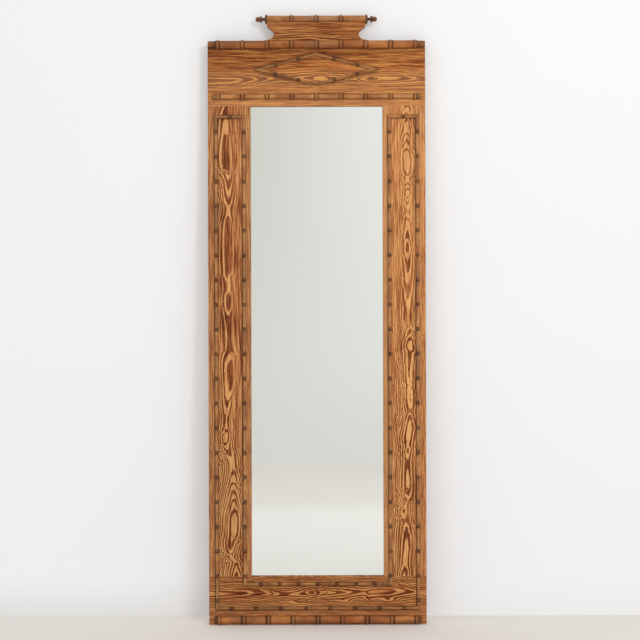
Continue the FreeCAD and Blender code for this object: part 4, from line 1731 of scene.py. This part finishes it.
@dataclass
class PlateAndBack:
    """The silvered plate, the blocks that hold it, the backboards and their nails."""

    backboards: int = 3
    seed_step: float = 2.3
    loose_seed: float = 0.7

    def dress(self) -> None:
        """Gives each piece its finish."""
        repaint("mirror_plate", SilveredPlate().material(*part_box("mirror_plate")))
        sawn = RawPine()
        for index in range(1, self.backboards + 1):
            node = f"backboard_{index}"
            seed = index * self.seed_step
            repaint(node, sawn.material(f"raw_pine_{index}", middle_of(node).x, seed))
        loose = sawn.material("raw_pine_small", 0.0, self.loose_seed)
        repaint("glass_blocks", loose)
        repaint("crest_dowels", loose)
        repaint("backboard_nails", NailIron().material())


@dataclass
class Studio:
    """Pale floor, a wall behind, a wall that only the plate sees, a soft lamp and the camera.

    Glow is light that a backdrop adds where it is seen: tilted, which evens out the lamp, and on the floor
    pooled along Y. Shade is how much of it is lost close to the mirror: a share of it everywhere, more on
    the left side, and more again towards the wall's foot.
    """

    camera_place: Triple = (0.010, -4.516, 1.050)
    camera_lens: float = 73.41
    camera_roll: float = math.radians(0.17)
    wall_foot: float = 0.114
    wall_lean: float = math.radians(2.5)
    far_wall: float = -4.83
    reach: float = 14.0
    floor_colour: Rgb = (233, 228, 222)
    wall_colour: Rgb = (227, 226, 225)
    mottle: Layer = Layer((1.3, 1.3, 1.3))
    mottle_light: Span = (0.99, 1.01)
    wall_glow: Triple = (0.203, 0.224, 0.242)
    floor_glow: Triple = (0.100, 0.134, 0.150)
    floor_pool: Points = (
        (-14.0, 0.18), (-4.2, 0.18), (-3.5, 0.18), (-2.9, 0.40), (-2.2, 1.0), (-1.5, 0.98),
        (-0.85, 0.74), (-0.3, 0.08), (14.0, 0.0),
    )
    glow_tilt: float = 0.04
    glow_limits: Span = (0.5, 1.5)
    shade_reach: float = 0.15
    shade_share: float = 0.35
    shade_left: float = 0.22
    shade_rays: int = 3
    shade_foot: Span = (0.1, 1.1)
    shade_side: Span = (-0.3, 0.3)
    wall_shade: float = 0.45
    far_dim: Rgb = (214, 213, 207)
    far_bright: Rgb = (242, 242, 239)
    far_level: float = 0.6
    far_twist: float = 0.25
    far_slant: float = 0.22
    far_climb: float = 0.02
    far_step: Span = (-0.5, 0.5)
    far_foot: Span = (0.0, 0.9)
    far_foot_light: Span = (0.95, 1.0)
    sky_colour: Rgb = (244, 243, 242)
    ambient: float = 0.91
    key_place: Triple = (2.15, -3.72, 3.2)
    key_size: float = 0.8
    key_power: float = 42.0
    key_aim: Triple = (0.0, 0.0, 1.0)

    def build(self) -> None:
        """Sets up the studio."""
        reach = self.reach
        level = ((-reach, -reach, 0), (reach, -reach, 0), (reach, reach, 0), (-reach, reach, 0))
        floor = self.card("floor", level)
        head = self.wall_foot - reach / 2 * math.tan(self.wall_lean)
        wall = self.card("wall", self.upright(self.wall_foot, head, 1))
        far = self.card("far_wall", self.upright(self.far_wall, self.far_wall, -1))
        paint = self.one_sided("studio_floor", self.floor_colour, self.floor_glow, pool=self.floor_pool)
        floor.data.materials.append(paint)
        paint = self.one_sided("studio_wall", self.wall_colour, self.wall_glow, foot_shade=self.wall_shade)
        wall.data.materials.append(paint)
        far.data.materials.append(self.glow())
        wall.visible_diffuse = False
        wall.visible_shadow = False
        far.visible_camera = False
        far.visible_diffuse = False
        far.visible_shadow = False
        self.lamp()
        self.world()
        self.camera()

    def upright(self, foot: float, head: float, side: int) -> tuple[Triple, ...]:
        """A wall's corners, from Y of its foot and its top edge; side is 1 to face the camera, or -1."""
        end, top = side * self.reach, self.reach / 2
        return (-end, foot, 0), (end, foot, 0), (end, head, top), (-end, head, top)

    def card(self, name: str, corners: Sequence[Triple]) -> bpy.types.Object:
        """A flat backdrop.

        Args:
            name: its name.
            corners: its corners, counter-clockwise from its front.

        Returns:
            The backdrop.
        """
        mesh = bpy.data.meshes.new(name)
        mesh.from_pydata(corners, [], [range(len(corners))])
        card = bpy.data.objects.new(name, mesh)
        bpy.context.scene.collection.objects.link(card)
        return card

    def one_sided(
        self,
        name: str,
        colour: Rgb,
        glow: Triple,
        pool: Optional[Points] = None,
        foot_shade: float = 0.0,
    ) -> bpy.types.Material:
        """A matt painted face that can't be seen from behind.

        Args:
            name: the material's name.
            colour: the paint.
            glow: light added where it is seen, stronger to the left.
            pool: the strength of that light along Y, if it changes.
            foot_shade: how much darker the shade beside the mirror is towards the floor.

        Returns:
            The material.
        """
        graph = Graph(bpy.data.materials.new(name))
        x, y, z = graph.place()
        mottle = graph.noise(self.mottle, (x, y, z))
        paint = graph.tinted(linear(colour), mottle.between(*self.mottle_light))
        matt = graph.field("ShaderNodeBsdfDiffuse", {"Color": paint})
        dimmest, brightest = self.glow_limits
        evened = (x * -self.glow_tilt + 1.0).least(brightest).most(dimmest)
        if pool:
            evened = evened * graph.curve(y, pool)
        reach = {"Distance": self.shade_reach}
        near = graph.field("ShaderNodeAmbientOcclusion", reach, "AO", samples=self.shade_rays)
        away = x.fall(*self.shade_side) * (z.fall(*self.shade_foot) * foot_shade + self.shade_left)
        unshaded = (near - 1.0) * (away + self.shade_share) + 1.0
        strength = graph.seen() * (evened * unshaded)
        lit = graph.field("ShaderNodeEmission", {"Color": (*glow, 1.0), "Strength": strength})
        face = graph.field("ShaderNodeAddShader", {0: matt, 1: lit})
        clear = graph.field("ShaderNodeBsdfTransparent")
        behind = graph.field("ShaderNodeNewGeometry", output="Backfacing")
        return graph.surface(graph.field("ShaderNodeMixShader", {0: behind, 1: face, 2: clear}))

    def glow(self) -> bpy.types.Material:
        """The wall in front, as the plate shows it: brighter towards the upper right.

        Returns:
            The material.
        """
        graph = Graph(bpy.data.materials.new("studio_far_wall"))
        x, _, z = graph.place()
        slant = (z - self.far_level) * self.far_twist + self.far_slant
        light = (x * slant + z * self.far_climb).rise(*self.far_step)
        colour = graph.mix(light, linear(self.far_dim), linear(self.far_bright))
        foot = z.rise(*self.far_foot).between(*self.far_foot_light)
        return graph.surface(graph.field("ShaderNodeEmission", {"Color": colour, "Strength": foot}))

    def lamp(self) -> None:
        """A soft key lamp from the upper right."""
        light = bpy.data.lights.new("key", "AREA")
        light.energy = self.key_power
        light.size = self.key_size
        lamp = bpy.data.objects.new("key", light)
        lamp.location = self.key_place
        aim = Vector(self.key_aim) - Vector(self.key_place)
        lamp.rotation_mode = "QUATERNION"
        lamp.rotation_quaternion = aim.to_track_quat("-Z", "Y")
        bpy.context.scene.collection.objects.link(lamp)

    def world(self) -> None:
        """An even, pale room: white to the camera and to the plate, softer as light."""
        world = bpy.data.worlds.new("studio")
        graph = Graph(world)
        strength = graph.seen().between(self.ambient, 1.0)
        inputs = {"Color": linear(self.sky_colour), "Strength": strength}
        graph.add("ShaderNodeOutputWorld", {"Surface": graph.field("ShaderNodeBackground", inputs)})
        bpy.context.scene.world = world

    def camera(self) -> None:
        """The camera, level and square to the mirror but for a trace of roll."""
        data = bpy.data.cameras.new("camera")
        data.lens = self.camera_lens
        camera = bpy.data.objects.new("camera", data)
        camera.location = self.camera_place
        camera.rotation_euler = (math.pi / 2, self.camera_roll, 0.0)
        bpy.context.scene.collection.objects.link(camera)
        bpy.context.scene.camera = camera


def main() -> None:
    """Builds the studio, turns the rods and beads, and dresses every piece."""
    logging.basicConfig(level=logging.INFO)
    bpy.context.scene.view_settings.view_transform = "Standard"
    low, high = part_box("top_rail")
    stile_low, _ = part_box("right_stile")
    LOG.info("frame %.3f m wide, sight edge at %.3f m", high.x - low.x, stile_low.x)
    Studio().build()
    rods = Lathe(RODS.material())
    slim = Lathe(STILE_BEADS.material(), foot_dirt_and_shade=0.95, foot_reach_share=0.11, lit_share=0.4)
    dim = Lathe(RAIL_BEADS.material(), foot_dirt_and_shade=0.95, foot_reach_share=0.11)
    frieze = Lathe(FRIEZE.material(), foot_dirt_and_shade=0.9, foot_reach_share=0.16)
    SplitRods(high.x, low.y).build(rods, frieze)
    crest = Lathe(DUSTY_CREST.material())
    Crest(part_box("crest_rod")[1].x).build(crest)
    Beads(low.y, slim, dim).build()
    Boards(low.y).dress()
    PlateAndBack().dress()


if __name__ == "__main__":
    main()
